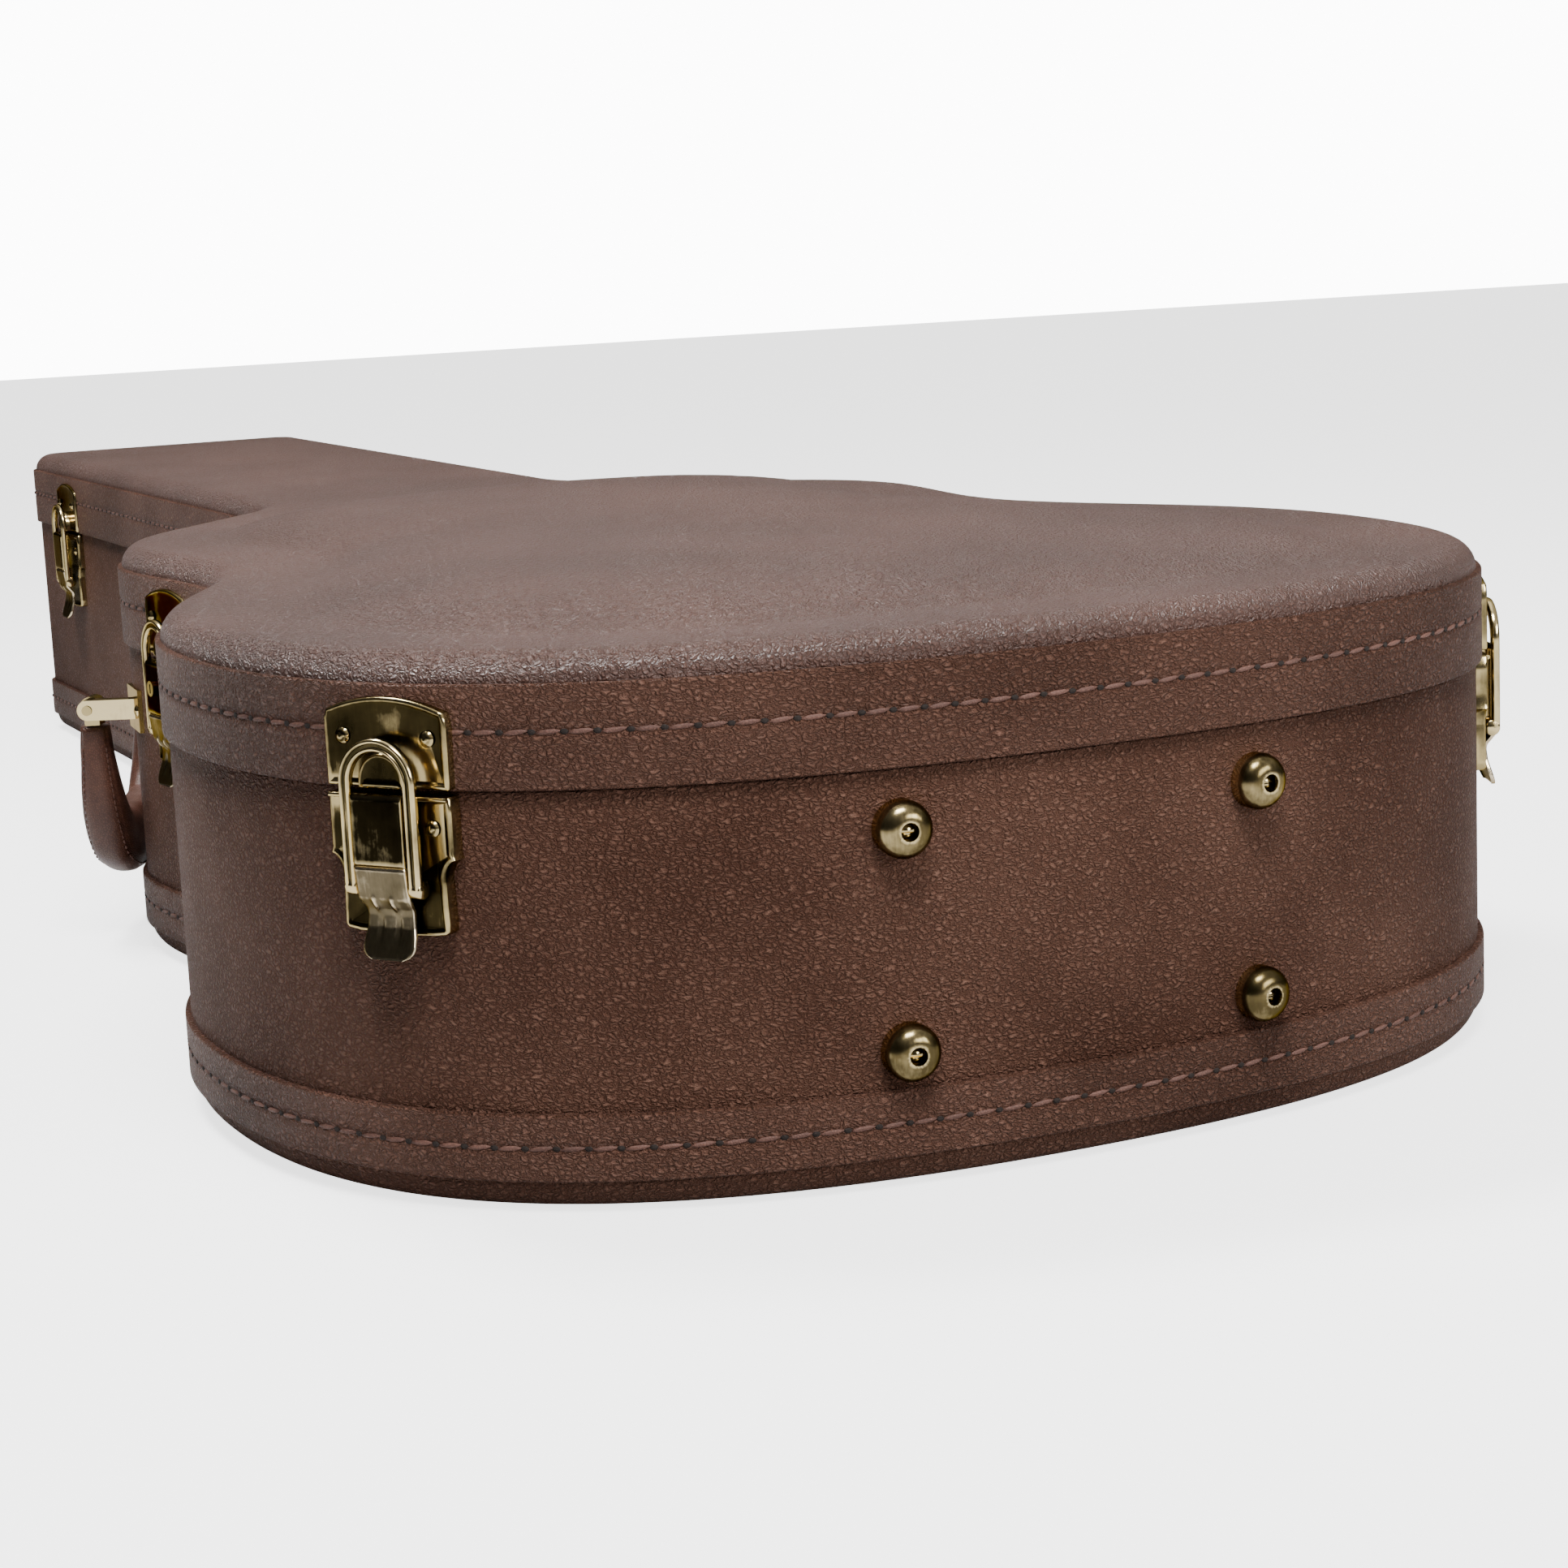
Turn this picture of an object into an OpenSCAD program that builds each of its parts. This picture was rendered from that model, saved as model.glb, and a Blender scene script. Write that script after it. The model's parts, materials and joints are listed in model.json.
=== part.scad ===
// Hardshell guitar case lying on its back: a curved plywood shell with a domed lid, drawbolt
// latches, a leather-covered handle, tail feet, hinges and a padded interior.
// Frame: +Z up, +Y from the tail to the head end, +X towards the hinge side. The origin is on
// the underside, on the centre line, at mid length.

/* [Outline] */
// Overall length of the shell, tail to head end
case_len = 1090; // [1060:5:1120]
// Greatest width, across the lower bout
lower_bout_w = 438; // [430:2:446]
// Width across the waist
waist_w = 328; // [320:2:334]
// Width across the upper bout
upper_bout_w = 345; // [341:2:349]
// Width of the neck section where it leaves the shoulders
neck_w = 147; // [141:2:151]
// Width of the neck section at the head end
head_w = 160; // [156:2:164]

/* [Heights] */
// Height of the bottom panel, up to the seam of the lower band
bottom_h = 9; // [8:1:10]
// Height of the lower band's top edge
band_top = 29; // [26:1:32]
// Height of the parting line between base and lid
parting = 122; // [121:1:124]
// Height of the lid band above the parting line
lid_band_h = 30.5; // [29.5:0.5:32]
// Height that the lid panel's rounded edge rises above its band
edge_rise = 8.5; // [8:0.5:9]
// Height of the dome above the flat border of the lid
dome_rise = 11; // [8:1:13]

/* [Shell] */
// Thickness of the covered plywood walls
wall_t = 5; // [4.5:0.5:5.5]
// Thickness of the stitched bands outside the walls
band_t = 2; // [2:0.5:2]
// Thickness of the plush padding on the base walls
pad_t = 7; // [6:1:8]
// Width of the flat border around the dome
border_w = 27; // [24:1:30]

/* [Hardware] */
// Outward distance from the base wall to the lid hinge axis
hinge_out = 6.6; // [6.6:0.1:7]
// Diameter of a tail foot
foot_d = 17; // [16:0.5:18]
// Width of a latch plate
plate_w = 42; // [40:1:44]
// Distance between the two handle pivots
handle_span = 104; // [100:1:108]
// Drop from the handle pivots to the underside of the grip
handle_drop = 74; // [72:1:76]

/* [Hidden] */

VINYL = "#5c4034";
VINYL_TOP = "#6b5148";
BRASS = "#a08a55";
PLUSH = "#b08a4a";
LEATHER = "#4a2f26";

part_gap = 0.3;
lid_z = parting + part_gap;
band_z = parting + lid_band_h;
border_z = band_z + edge_rise;
edge_in = 9;
panel_out = 1;
panel_t = 5;
lining_t = 4;
floor_z = bottom_h + 6;
pad_top = 108;
tongue_top = parting + 7.5;
tongue_gap = 1;
tongue_t = 2.5;
lid_pad_z = tongue_top + 1.5;
lid_pad_t = 4;

// Stations of the outline, measured from the tail
lower_bout_y = 177;
waist_y = 354;
upper_bout_y = 441;
shoulder = [126, 532];
neck_y = 620;
corner_r = 18;

// ---- Outline -------------------------------------------------------------------------------

function bezier(a, b, c, d, n) = [for (i = [0 : n - 1]) let (t = i / n, s = 1 - t)
  s * s * s * a + 3 * s * s * t * b + 3 * s * t * t * c + t * t * t * d];

function half_outline() =
  let (lb = lower_bout_w / 2, wa = waist_w / 2, ub = upper_bout_w / 2, nk = neck_w / 2, hd = head_w / 2)
  concat(
    bezier([0, 0], [150, 0], [lb, 57], [lb, lower_bout_y], 20),
    bezier([lb, lower_bout_y], [lb, lower_bout_y + 85], [wa, waist_y - 60], [wa, waist_y], 12),
    bezier([wa, waist_y], [wa, waist_y + 30], [ub, upper_bout_y - 25], [ub, upper_bout_y], 6),
    bezier([ub, upper_bout_y], [ub, upper_bout_y + 48], shoulder + [19.5, -22.8], shoulder, 8),
    bezier(shoulder, shoulder + [-26, 30.4], [nk, neck_y - 35], [nk, neck_y], 8),
    [for (i = [0 : 3]) [nk + (hd - nk) * i / 4, neck_y + (case_len - corner_r - neck_y) * i / 4]],
    [for (i = [0 : 4]) let (a = 90 * i / 4) [hd - corner_r * (1 - cos(a)), case_len - corner_r * (1 - sin(a))]],
    [[0, case_len]]);

function shell_outline() = let (h = half_outline(), n = len(h)) [for (p = concat(h,
  [for (i = [n - 2 : -1 : 1]) [-h[i][0], h[i][1]]])) p - [0, case_len / 2]];

function unit(v) = v / norm(v);
function edge_normal(p, i) = let (n = len(p), e = unit(p[(i + 1) % n] - p[i])) [e[1], -e[0]];
function grow(p, d) = let (n = len(p)) [for (i = [0 : n - 1])
  let (a = edge_normal(p, (i + n - 1) % n), b = edge_normal(p, i)) p[i] + d * (a + b) / (1 + a * b)];

OUTLINE = shell_outline();

module prism(d, z0, z1)
  translate([0, 0, z0]) linear_extrude(z1 - z0) polygon(grow(OUTLINE, d));

module ring(d_out, d_in, z0, z1) {
  n = len(OUTLINE);
  translate([0, 0, z0]) linear_extrude(z1 - z0) polygon(
    points = concat(grow(OUTLINE, d_out), grow(OUTLINE, d_in)),
    paths = [[for (i = [0 : n - 1]) i], [for (i = [0 : n - 1]) n + i]]);
}

// The part of a ring between two points of the outline
module ring_part(d_out, d_in, z0, z1, ends) {
  n = len(OUTLINE);
  translate([0, 0, z0]) linear_extrude(z1 - z0) polygon(concat(
    [for (i = [ends[0] : ends[1]]) grow(OUTLINE, d_out)[(i + n) % n]],
    [for (i = [ends[1] : -1 : ends[0]]) grow(OUTLINE, d_in)[(i + n) % n]]));
}

// The part of a prism between two points of the outline
module prism_part(d, z0, z1, ends) let (n = len(OUTLINE))
  translate([0, 0, z0]) linear_extrude(z1 - z0) polygon(
    [for (i = [ends[0] : ends[1]]) grow(OUTLINE, d)[(i + n) % n]]);

// ---- Frames on the wall ----------------------------------------------------------------------

function smallest(v, i = 0, best = 0) =
  i >= len(v) ? best : smallest(v, i + 1, v[i] < v[best] ? i : best);
function nearest_on(a, b, p) = a + max(0, min(1, (p - a) * (b - a) / ((b - a) * (b - a)))) * (b - a);
// The spot on the base wall that is nearest a point, and the turn that puts +Y outwards there
function wall_spot(p) = let (n = len(OUTLINE),
    feet = [for (i = [0 : n - 1]) nearest_on(OUTLINE[i], OUTLINE[(i + 1) % n], p)],
    i = smallest([for (f = feet) norm(f - p)]), e = edge_normal(OUTLINE, i))
  [feet[i], atan2(e[1], e[0]) - 90];

module at_spot(spot, z)
  translate([spot[0][0], spot[0][1], z]) rotate([0, 0, spot[1]]) children();

// Stands a flat shape up in the XZ plane, from y0 to y1
module stand(y0, y1) translate([0, y1, 0]) rotate([90, 0, 0]) linear_extrude(y1 - y0) children();

module along_x(r, x0, x1) translate([x0, 0, 0]) rotate([0, 90, 0]) cylinder(r = r, h = x1 - x0, $fn = 48);
module along_y(r, y0, y1) translate([0, y0, 0]) rotate([-90, 0, 0]) cylinder(r = r, h = y1 - y0, $fn = 48);

// A domed rivet head that stands on y = 0
module rivet_head(r, h) rotate([-90, 0, 0]) rotate_extrude($fn = 48) intersection() {
  translate([0, h - (r * r + h * h) / (2 * h)]) circle(r = (r * r + h * h) / (2 * h), $fn = 64);
  square([r, h]);
}

// ---- Base shell ------------------------------------------------------------------------------

// The walls are bent in four lengths, which meet on the sides of the lower bout and the shoulders
tail_ends = [-26, 26];
right_ends = [26, 50];
head_ends = [50, 76];
left_ends = [76, 100];

module base_wall(ends) color(VINYL) ring_part(0, -wall_t, bottom_h, parting, ends);

// Height and inset of each step of the bottom panel's rounded edge
bottom_steps = [for (i = [0 : 6]) let (a = 90 * i / 6) [bottom_h * (1 - cos(a)), 8 * (1 - sin(a))]];

module bottom_part(ends) color(VINYL) for (i = [0 : 5])
  prism_part(-(bottom_steps[i][1] + bottom_steps[i + 1][1]) / 2, bottom_steps[i][0], bottom_steps[i + 1][0], ends);

module base_band() color(VINYL) ring(band_t, 0, bottom_h, band_top);

module valance() color(PLUSH) {
  ring(-wall_t, -wall_t - tongue_gap - tongue_t, pad_top, parting - 1);
  ring(-wall_t - tongue_gap, -wall_t - tongue_gap - tongue_t, parting - 1, tongue_top);
}

module floor_pad() color(PLUSH) prism(-wall_t, bottom_h, floor_z);

module base_wall_pad() color(PLUSH) ring(-wall_t, -wall_t - pad_t, floor_z, pad_top);

// ---- Neck support and accessory compartment ----------------------------------------------------

inner_in = wall_t + pad_t;
cradle_y = 640 - case_len / 2;
cradle_t = 25;
cradle_top = 95;
box_y = cradle_y + cradle_t;
box_len = 240;
divider_t = 10;
box_top = 60;
box_lid_t = 5;
box_axis = [56, box_top + box_lid_t / 2];
box_pin_r = 1.8;
pin_reach = 6;

module box_bore() translate([box_axis[0], 0, box_axis[1]]) children();

module neck_cradle() color(PLUSH) difference() {
  intersection() {
    prism(-inner_in, floor_z, cradle_top);
    translate([-100, cradle_y, 0]) cube([200, cradle_t, 200]);
  }
  translate([0, 0, cradle_top + 13]) along_y(36, cradle_y - 1, box_y + 1);
  box_bore() along_y(box_pin_r + 0.05, box_y - pin_reach - 1, box_y + 1);
}

module compartment_frame() color(PLUSH) {
  difference() {
    intersection() {
      prism(-inner_in, floor_z, box_top + 15);
      translate([-100, box_y + box_len, 0]) cube([200, divider_t, 200]);
    }
    box_bore() along_y(box_pin_r + 0.05, box_y + box_len - 1, box_y + box_len + pin_reach + 1);
  }
  intersection() {
    prism(-inner_in, box_top - 8, box_top);
    translate([-100, box_y, 0]) cube([48, box_len, 200]);
  }
}

module compartment_lid() color(PLUSH) {
  intersection() {
    prism(-inner_in - 1, box_top, box_top + box_lid_t);
    translate([-100, box_y + 0.5, 0]) cube([100 + box_axis[0] + 2.5, box_len - 1, 200]);
  }
  box_bore() along_y(box_pin_r, box_y - pin_reach, box_y + 0.5);
  box_bore() along_y(box_pin_r, box_y + box_len - 0.5, box_y + box_len + pin_reach);
}

module pull_tab() color(LEATHER)
  translate([-56, box_y + box_len / 2 - 12, box_top + box_lid_t]) cube([30, 24, 2]);

// ---- Tail feet -------------------------------------------------------------------------------

foot_x = 59;
foot_low = 40;
foot_high = 105;
foot_h = 8.5;
foot_hole_r = 2.7;
foot_hole_z = 5.5;

module at_feet() for (x = [-foot_x, foot_x], z = [foot_low, foot_high])
  at_spot(wall_spot([x, -case_len / 2 + 3]), z) children();

module foot_profile() difference() {
  union() {
    translate([0, -2]) square([foot_d / 2, 5]);
    intersection() {
      translate([foot_d / 2 - 5.5, 3]) circle(r = 5.5, $fn = 48);
      square([foot_d / 2, foot_h]);
    }
    square([foot_d / 2 - 5.5, foot_h]);
  }
  translate([-1, foot_hole_z]) square([foot_hole_r + 1, foot_h]);
}

module tail_feet() color(BRASS) difference() {
  at_feet() rotate([-90, 0, 0]) rotate_extrude($fn = 64) foot_profile();
  prism(0, 0, parting);
}

module foot_screws() color(BRASS) at_feet() difference() {
  translate([0, foot_hole_z, 0]) rivet_head(2.5, 1.6);
  translate([-3, foot_hole_z + 0.8, -0.35]) cube([6, 2, 0.7]);
}

// ---- Lid shell -------------------------------------------------------------------------------

module lid_wall(ends) color(VINYL) ring_part(0, -wall_t, lid_z, band_z, ends);
module lid_band() color(VINYL) ring(band_t, 0, lid_z, band_z);
module lid_wall_pad() color(PLUSH) ring(-wall_t, -wall_t - lid_pad_t, lid_pad_z, band_z - lining_t);

// The dome keeps to the body: its edge runs inside the outline and an elliptic end closes it
dome_last = 41;
half_n = len(half_outline()) - 1;
spine_low = 200 - case_len / 2;
spine_high = 430 - case_len / 2;
dome_end_len = 74;
// Scale and share of the height of each ring of the dome
dome_rings = [[0.97, 0.04], [0.91, 0.24], [0.84, 0.48], [0.74, 0.68], [0.58, 0.87], [0.36, 1]];

function dome_edge() = let (n = len(OUTLINE), p = grow(OUTLINE, -edge_in - border_w))
  [for (i = [0 : n - 1]) let (k = i <= half_n ? i : n - i, side = i <= half_n ? 1 : -1)
    k <= dome_last ? p[i]
    : let (a = 90 * (k - dome_last) / (half_n - dome_last), q = p[dome_last])
      [side * q[0] * cos(a), q[1] + dome_end_len * sin(a)]];

function spine(q) = [0, max(spine_low, min(spine_high, q[1]))];
function dome_ring(s) = [for (q = dome_edge()) spine(q) + s * (q - spine(q))];
function at_height(p, z) = [for (q = p) [q[0], q[1], z]];
function reversed(v) = [for (i = [len(v) - 1 : -1 : 0]) v[i]];

// Rings of points from the middle of the underside, round the rim, to the middle of the top.
// The first strips, as many as turned, are cut on their other diagonal.
module loft(rings, turned) {
  n = len(rings[0]);
  m = len(rings);
  polyhedron(points = [for (r = rings) each r], faces = concat(
    [[for (i = [0 : n - 1]) i]],
    [for (k = [0 : m - 2], i = [0 : n - 1]) let (a = k * n + i, b = a + n, c = k * n + n + (i + 1) % n,
      d = k * n + (i + 1) % n) each k < turned ? [[a, b, d], [b, c, d]] : [[a, b, c], [a, c, d]]],
    [[for (i = [n - 1 : -1 : 0]) (m - 1) * n + i]]));
}

edge_rings = [for (i = [0 : 4]) let (a = 90 * i / 4)
  at_height(grow(OUTLINE, panel_out - (edge_in + panel_out) * (1 - cos(a))), band_z + edge_rise * sin(a))];
// The dome's rings with their heights lowered by t
function crown(t) = concat([at_height(dome_edge(), border_z - t)],
  [for (r = dome_rings) at_height(dome_ring(r[0]), border_z + dome_rise * r[1] - t)]);
// The underside of a layer whose rim stands at z0, t below the lid's outer surface
function under(z0, t) = concat([at_height(grow(OUTLINE, -wall_t), z0),
  at_height(grow(OUTLINE, -edge_in - 3), border_z - t)], crown(t));

module lid_panel() color(VINYL_TOP)
  loft(concat(reversed(under(band_z, panel_t)), edge_rings, crown(0)), len(under(band_z, panel_t)) - 1);

module lid_lining() color(PLUSH)
  loft(concat(reversed(under(band_z - lining_t, panel_t + lining_t)), under(band_z, panel_t)), 0);

// ---- Lid hinge ---------------------------------------------------------------------------------

// The hinge axis is level, touches the bouts' outermost line and turns towards the head
hinge_turn = 8.9;
hinge_normal = [cos(hinge_turn), sin(hinge_turn)];
hinge_dir = [-sin(hinge_turn), cos(hinge_turn)];
hinge_reach = max([for (p = OUTLINE) p * hinge_normal]) + hinge_out;
hinge_at = [205 - case_len / 2, 466 - case_len / 2];
knuckle_r = 3;
hinge_pin_r = 1.5;
knuckle_len = 9.6;
knuckle_pitch = 10;
leaf_len = 50;
leaf_h = 26;

// Local X along the axis towards the tail, Y outwards, origin on the axis
module at_hinges() for (y = hinge_at)
  translate(concat(hinge_reach * hinge_normal
      + hinge_dir * (y - hinge_reach * hinge_normal[1]) / hinge_dir[1], parting))
    rotate([0, 0, hinge_turn - 90]) children();

module knuckle(k, z0, web_len) difference() {
  union() {
    along_x(knuckle_r, k * knuckle_pitch - knuckle_len / 2, k * knuckle_pitch + knuckle_len / 2);
    translate([k * knuckle_pitch - knuckle_len / 2, -web_len, z0]) cube([knuckle_len, web_len, 3]);
  }
  along_x(hinge_pin_r + (z0 < 0 ? 0 : 0.05), -leaf_len, leaf_len);
}

module hinge_base_leaves() color(BRASS) {
  difference() {
    at_hinges() translate([-leaf_len / 2, -25, -leaf_h - part_gap]) cube([leaf_len, 25 - hinge_out + 2, leaf_h]);
    prism(0, 0, parting + 1);
  }
  at_hinges() for (k = [-2, 0, 2]) knuckle(k, -3, hinge_out - 1.8);
}

module hinge_lid_leaves() color(BRASS) {
  difference() {
    at_hinges() translate([-leaf_len / 2, -25, part_gap]) cube([leaf_len, 25 - knuckle_r - 0.4, leaf_h]);
    prism(band_t, parting - 1, 200);
  }
  at_hinges() for (k = [-1, 1]) knuckle(k, 0, hinge_out - 2.6);
}

module hinge_pins() color(BRASS) at_hinges() along_x(hinge_pin_r, -leaf_len / 2 - 1, leaf_len / 2 + 1);

// ---- Handle ------------------------------------------------------------------------------------

handle_turn = 27;
handle_z = 97;
handle_near = [-189.3, 459.4 - case_len / 2];
handle_mid = handle_near + handle_span / 2 * [sin(handle_turn), cos(handle_turn)];
post_t = 6;
post_h = 8;
post_in = 30;
bracket_w = 24;
bracket_h = 17;
bracket_t = 1.6;
bracket_screw_x = 8.4;
handle_pin_r = 2;
loop_t = 8;
grip_r = 9.5;
grip_h = 27;
leg_top = -7;
leg_r = 7.5;

// Local X along the pivots towards the head, Y away from the wall
module at_handle() translate([handle_mid[0], handle_mid[1], handle_z]) rotate([0, 0, 90 - handle_turn]) children();
function bracket_spot(side) = wall_spot(handle_mid
  + side * handle_span / 2 * [sin(handle_turn), cos(handle_turn)]
  + 20 * [cos(handle_turn), -sin(handle_turn)]);

module bracket(side) difference() {
  union() {
    at_handle() translate([side * handle_span / 2, 0, 0]) {
      translate([-post_t / 2, -post_in, -post_h / 2]) cube([post_t, post_in, post_h]);
      along_x(post_h / 2, -post_t / 2, post_t / 2);
    }
    at_spot(bracket_spot(side), handle_z) translate([-bracket_w / 2, -3, -bracket_h / 2]) cube([bracket_w, 3 + bracket_t, bracket_h]);
  }
  prism(0, 0, 200);
  at_handle() translate([side * handle_span / 2, 0, 0]) along_x(handle_pin_r, -10, 10);
}
module handle_brackets() color(BRASS) for (side = [-1, 1]) bracket(side);

module bracket_screws() color(BRASS) for (side = [-1, 1], x = [-bracket_screw_x, bracket_screw_x])
  at_spot(bracket_spot(side), handle_z) translate([x, bracket_t, 0]) rivet_head(2.4, 1.2);

module handle_pins() color(BRASS) at_handle() for (side = [-1, 1])
  translate([side * handle_span / 2, 0, 0]) along_x(handle_pin_r, side > 0 ? -12 : -3.6, side > 0 ? 3.6 : 12);

module handle_loops() color(BRASS) at_handle() for (side = [-1, 1])
  translate([side * (handle_span / 2 - post_t / 2 - 0.4 - loop_t / 2), 0, 0]) difference() {
    union() {
      along_x(4.6, -loop_t / 2, loop_t / 2);
      translate([-loop_t / 2, -3, leg_top]) cube([loop_t, 6, -leg_top]);
    }
    along_x(handle_pin_r + 0.06, -loop_t, loop_t);
  }

module grip_ball(x, z, r) translate([x, 0, z]) sphere(r = r, $fn = 28);
module handle_grip() color(LEATHER) at_handle() {
  hull() for (x = [-27, 27]) {
    grip_ball(x, -handle_drop + grip_r, grip_r);
    grip_ball(x * 0.9, -handle_drop + grip_h - grip_r + 1, grip_r);
  }
  for (side = [-1, 1]) hull() {
    translate([side * (handle_span / 2 - 7.4) - 4.5, -5.5, leg_top - 1]) cube([9, 11, 1]);
    grip_ball(side * 37, -36, leg_r);
    grip_ball(side * 30, -handle_drop + grip_r + 3, grip_r);
  }
}

// ---- Drawbolt latches --------------------------------------------------------------------------

latch_at = [[-185.1, 66.8], [-166, 395], [-80, 990], [202, 95]];
plate_face = 3.4;
lever_axis = [7.2, -2.4];
hoop_axis = [6.6, -27];
lever_pin_r = 1;
hoop_pin_r = 1.2;
lever_w = 17.5;
lever_t = 1.2;
lever_face = 10.2;
hoop_in = 9.1;
hoop_bar = 3.9;
hoop_y = [6.7, 9.4];
rivet_x = 14.6;
dome_h = 3.1;
ear_x = 6.1;
ear_t = 1.4;
ear_r = 1.7;

module at_latch(i) at_spot(wall_spot(latch_at[i] - [0, case_len / 2]), parting) children();
module lever_line(r, x0, x1) translate([0, lever_axis[0], lever_axis[1]]) along_x(r, x0, x1);
module hoop_line(r, x0, x1) translate([0, hoop_axis[0], hoop_axis[1]]) along_x(r, x0, x1);

function arc(c, r, a0, a1, n) = [for (i = [0 : n]) let (a = a0 + (a1 - a0) * i / n) c + r * [cos(a), sin(a)]];
function mirrored(half) = concat(half, [for (i = [len(half) - 1 : -1 : 0]) [-half[i][0], half[i][1]]]);

// The lid's plate has an arched top, the base's plate has scalloped sides. The plate nearest the
// hinge is flat, so that it clears its hoop as the lid turns
keeper_arch_r = 53;
keeper_top = 27;
function keeper_shape() = let (h = plate_w / 2, a = asin(h / keeper_arch_r))
  concat([[-h, 1], [h, 1]], arc([0, keeper_top - keeper_arch_r], keeper_arch_r, 90 - a, 90 + a, 12));
function plate_shape() = let (h = plate_w / 2) mirrored(concat(
  [[0, -41.6], [h - 8, -41.2], [h - 2.8, -40]],
  arc([h + 2.6, -24.5], 6, 195, 110, 8),
  [[h, -17], [h, -0.9]]));

module keeper(i) color(BRASS) difference() {
  at_latch(i) {
    stand(-2, plate_face) polygon(keeper_shape());
    if (i < 3) stand(plate_face, plate_face + dome_h) keeper_dome();
  }
  prism(band_t, parting - 1, 200);
}
module keeper_dome() polygon(concat([[-8, 1.2], [8, 1.2]], arc([0, 3.4], 8, 0, 180, 16)));

module latch_plate(i) color(BRASS) {
  difference() {
    at_latch(i) stand(-2, plate_face) polygon(plate_shape());
    prism(0, parting - 60, parting + 1);
  }
  at_latch(i) for (side = [-1, 1]) difference() {
    union() {
      translate([side * ear_x - ear_t / 2, plate_face, lever_axis[1] - ear_r])
        cube([ear_t, lever_axis[0] - plate_face, 2 * ear_r - 0.3]);
      lever_line(ear_r, side * ear_x - ear_t / 2, side * ear_x + ear_t / 2);
    }
    lever_line(lever_pin_r, -20, 20);
  }
}

// Side view of the lever: outward distance, height
lever_side = [[10.2, -0.3], [10.2, -20], [8.9, -30], [5.9, -34], [6.3, -39], [9.3, -47], [8.1, -47.6],
  [5, -39.6], [4.6, -33.6], [7.8, -29.2], [9, -20], [9, -0.3]];
flange_side = [[9.6, -0.3], [9.6, -20], [8.2, -29.6], [4.9, -29.6], [4.9, -24], [6, -18], [5.8, -0.3]];
module side_view(x0, x1) translate([x0, 0, 0]) rotate([90, 0, 90]) linear_extrude(x1 - x0) children();
function lever_front() = mirrored([[0, -48], [5.6, -47.9], [7.6, -47.3], [8.6, -45.9], [8.9, -44], [8.7, -41.5],
  [8.1, -38.5], [7.9, -36], [8.1, -33.5], [lever_w / 2, -31.5], [lever_w / 2, 5]]);

lock_z = -10;
lock_r = 3;
module lever(i) color(BRASS) at_latch(i) difference() {
  union() {
    intersection() {
      side_view(-lever_w / 2, lever_w / 2) polygon(lever_side);
      stand(0, 20) polygon(lever_front());
    }
    for (x = [-lever_w / 2, lever_w / 2 - 1.2]) side_view(x, x + 1.2) polygon(flange_side);
    if (i == 1) translate([0, lever_face - 0.6, lock_z]) along_y(5.2, 0, 1.8);
  }
  lever_line(lever_pin_r + 0.05, -20, 20);
  hoop_line(hoop_pin_r, -20, 20);
  if (i == 1) translate([0, 0, lock_z]) along_y(lock_r + 0.05, 0, 20);
}

module lever_pins() color(BRASS) for (i = [0 : 3]) at_latch(i) lever_line(lever_pin_r, -lever_w / 2, lever_w / 2);

module hoop_pin(i) color(BRASS) at_latch(i) hoop_line(hoop_pin_r, -hoop_in - hoop_bar, hoop_in + hoop_bar);

function u_shape(r) = concat([[-r, hoop_axis[1]], [r, hoop_axis[1]]], arc([0, 3], r, 0, 180, 24));
module hoop(i) color(BRASS) at_latch(i) difference() {
  union() {
    stand(hoop_y[0], hoop_y[1]) polygon(u_shape(hoop_in + hoop_bar));
    hoop_line(2.8, -hoop_in - hoop_bar, hoop_in + hoop_bar);
  }
  stand(0, 20) polygon(concat([[-hoop_in, -40], [hoop_in, -40]], arc([0, 3], hoop_in, 0, 180, 24)));
  hoop_line(hoop_pin_r + 0.05, -20, 20);
}

module lock_plug() color(BRASS) at_latch(1) translate([0, 0, lock_z]) difference() {
  union() {
    along_y(lock_r, 7, lever_face + 1.6);
    translate([-1.5, 7, -4]) cube([3, 1.7, 8]);
  }
  translate([-0.5, lever_face + 0.6, -1.8]) cube([1, 2, 3.6]);
}

module plate_rivets() color(BRASS) for (i = [0 : 3], x = [-rivet_x, rivet_x])
  at_latch(i) translate([x, plate_face, -10]) rivet_head(2.4, 1.3);
module keeper_rivets() color(BRASS) for (i = [0 : 3], x = [-rivet_x, rivet_x])
  at_latch(i) translate([x, plate_face, 15.5]) rivet_head(2.4, 1.3);

// ---- Nodes -------------------------------------------------------------------------------------

base_wall(tail_ends);  // base_wall_tail
base_wall(right_ends);  // base_wall_right
base_wall(left_ends);  // base_wall_left
base_wall(head_ends);  // base_wall_head
bottom_part([left_ends[0] - 126, right_ends[1]]);  // bottom_panel
bottom_part(head_ends);  // bottom_neck_panel
base_band();
valance();
floor_pad();
base_wall_pad();
neck_cradle();
compartment_frame();
compartment_lid();
pull_tab();
tail_feet();
foot_screws();
lid_wall(tail_ends);  // lid_wall_tail
lid_wall(right_ends);  // lid_wall_right
lid_wall(left_ends);  // lid_wall_left
lid_wall(head_ends);  // lid_wall_head
lid_band();
lid_panel();
lid_lining();
lid_wall_pad();
hinge_base_leaves();
hinge_lid_leaves();
hinge_pins();
handle_brackets();
bracket_screws();
handle_pins();
handle_grip();
handle_loops();
latch_plate(0);  // plate_tail_left
latch_plate(1);  // plate_waist_left
latch_plate(2);  // plate_head_left
latch_plate(3);  // plate_tail_right
keeper(0);  // keeper_tail_left
keeper(1);  // keeper_waist_left
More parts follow.
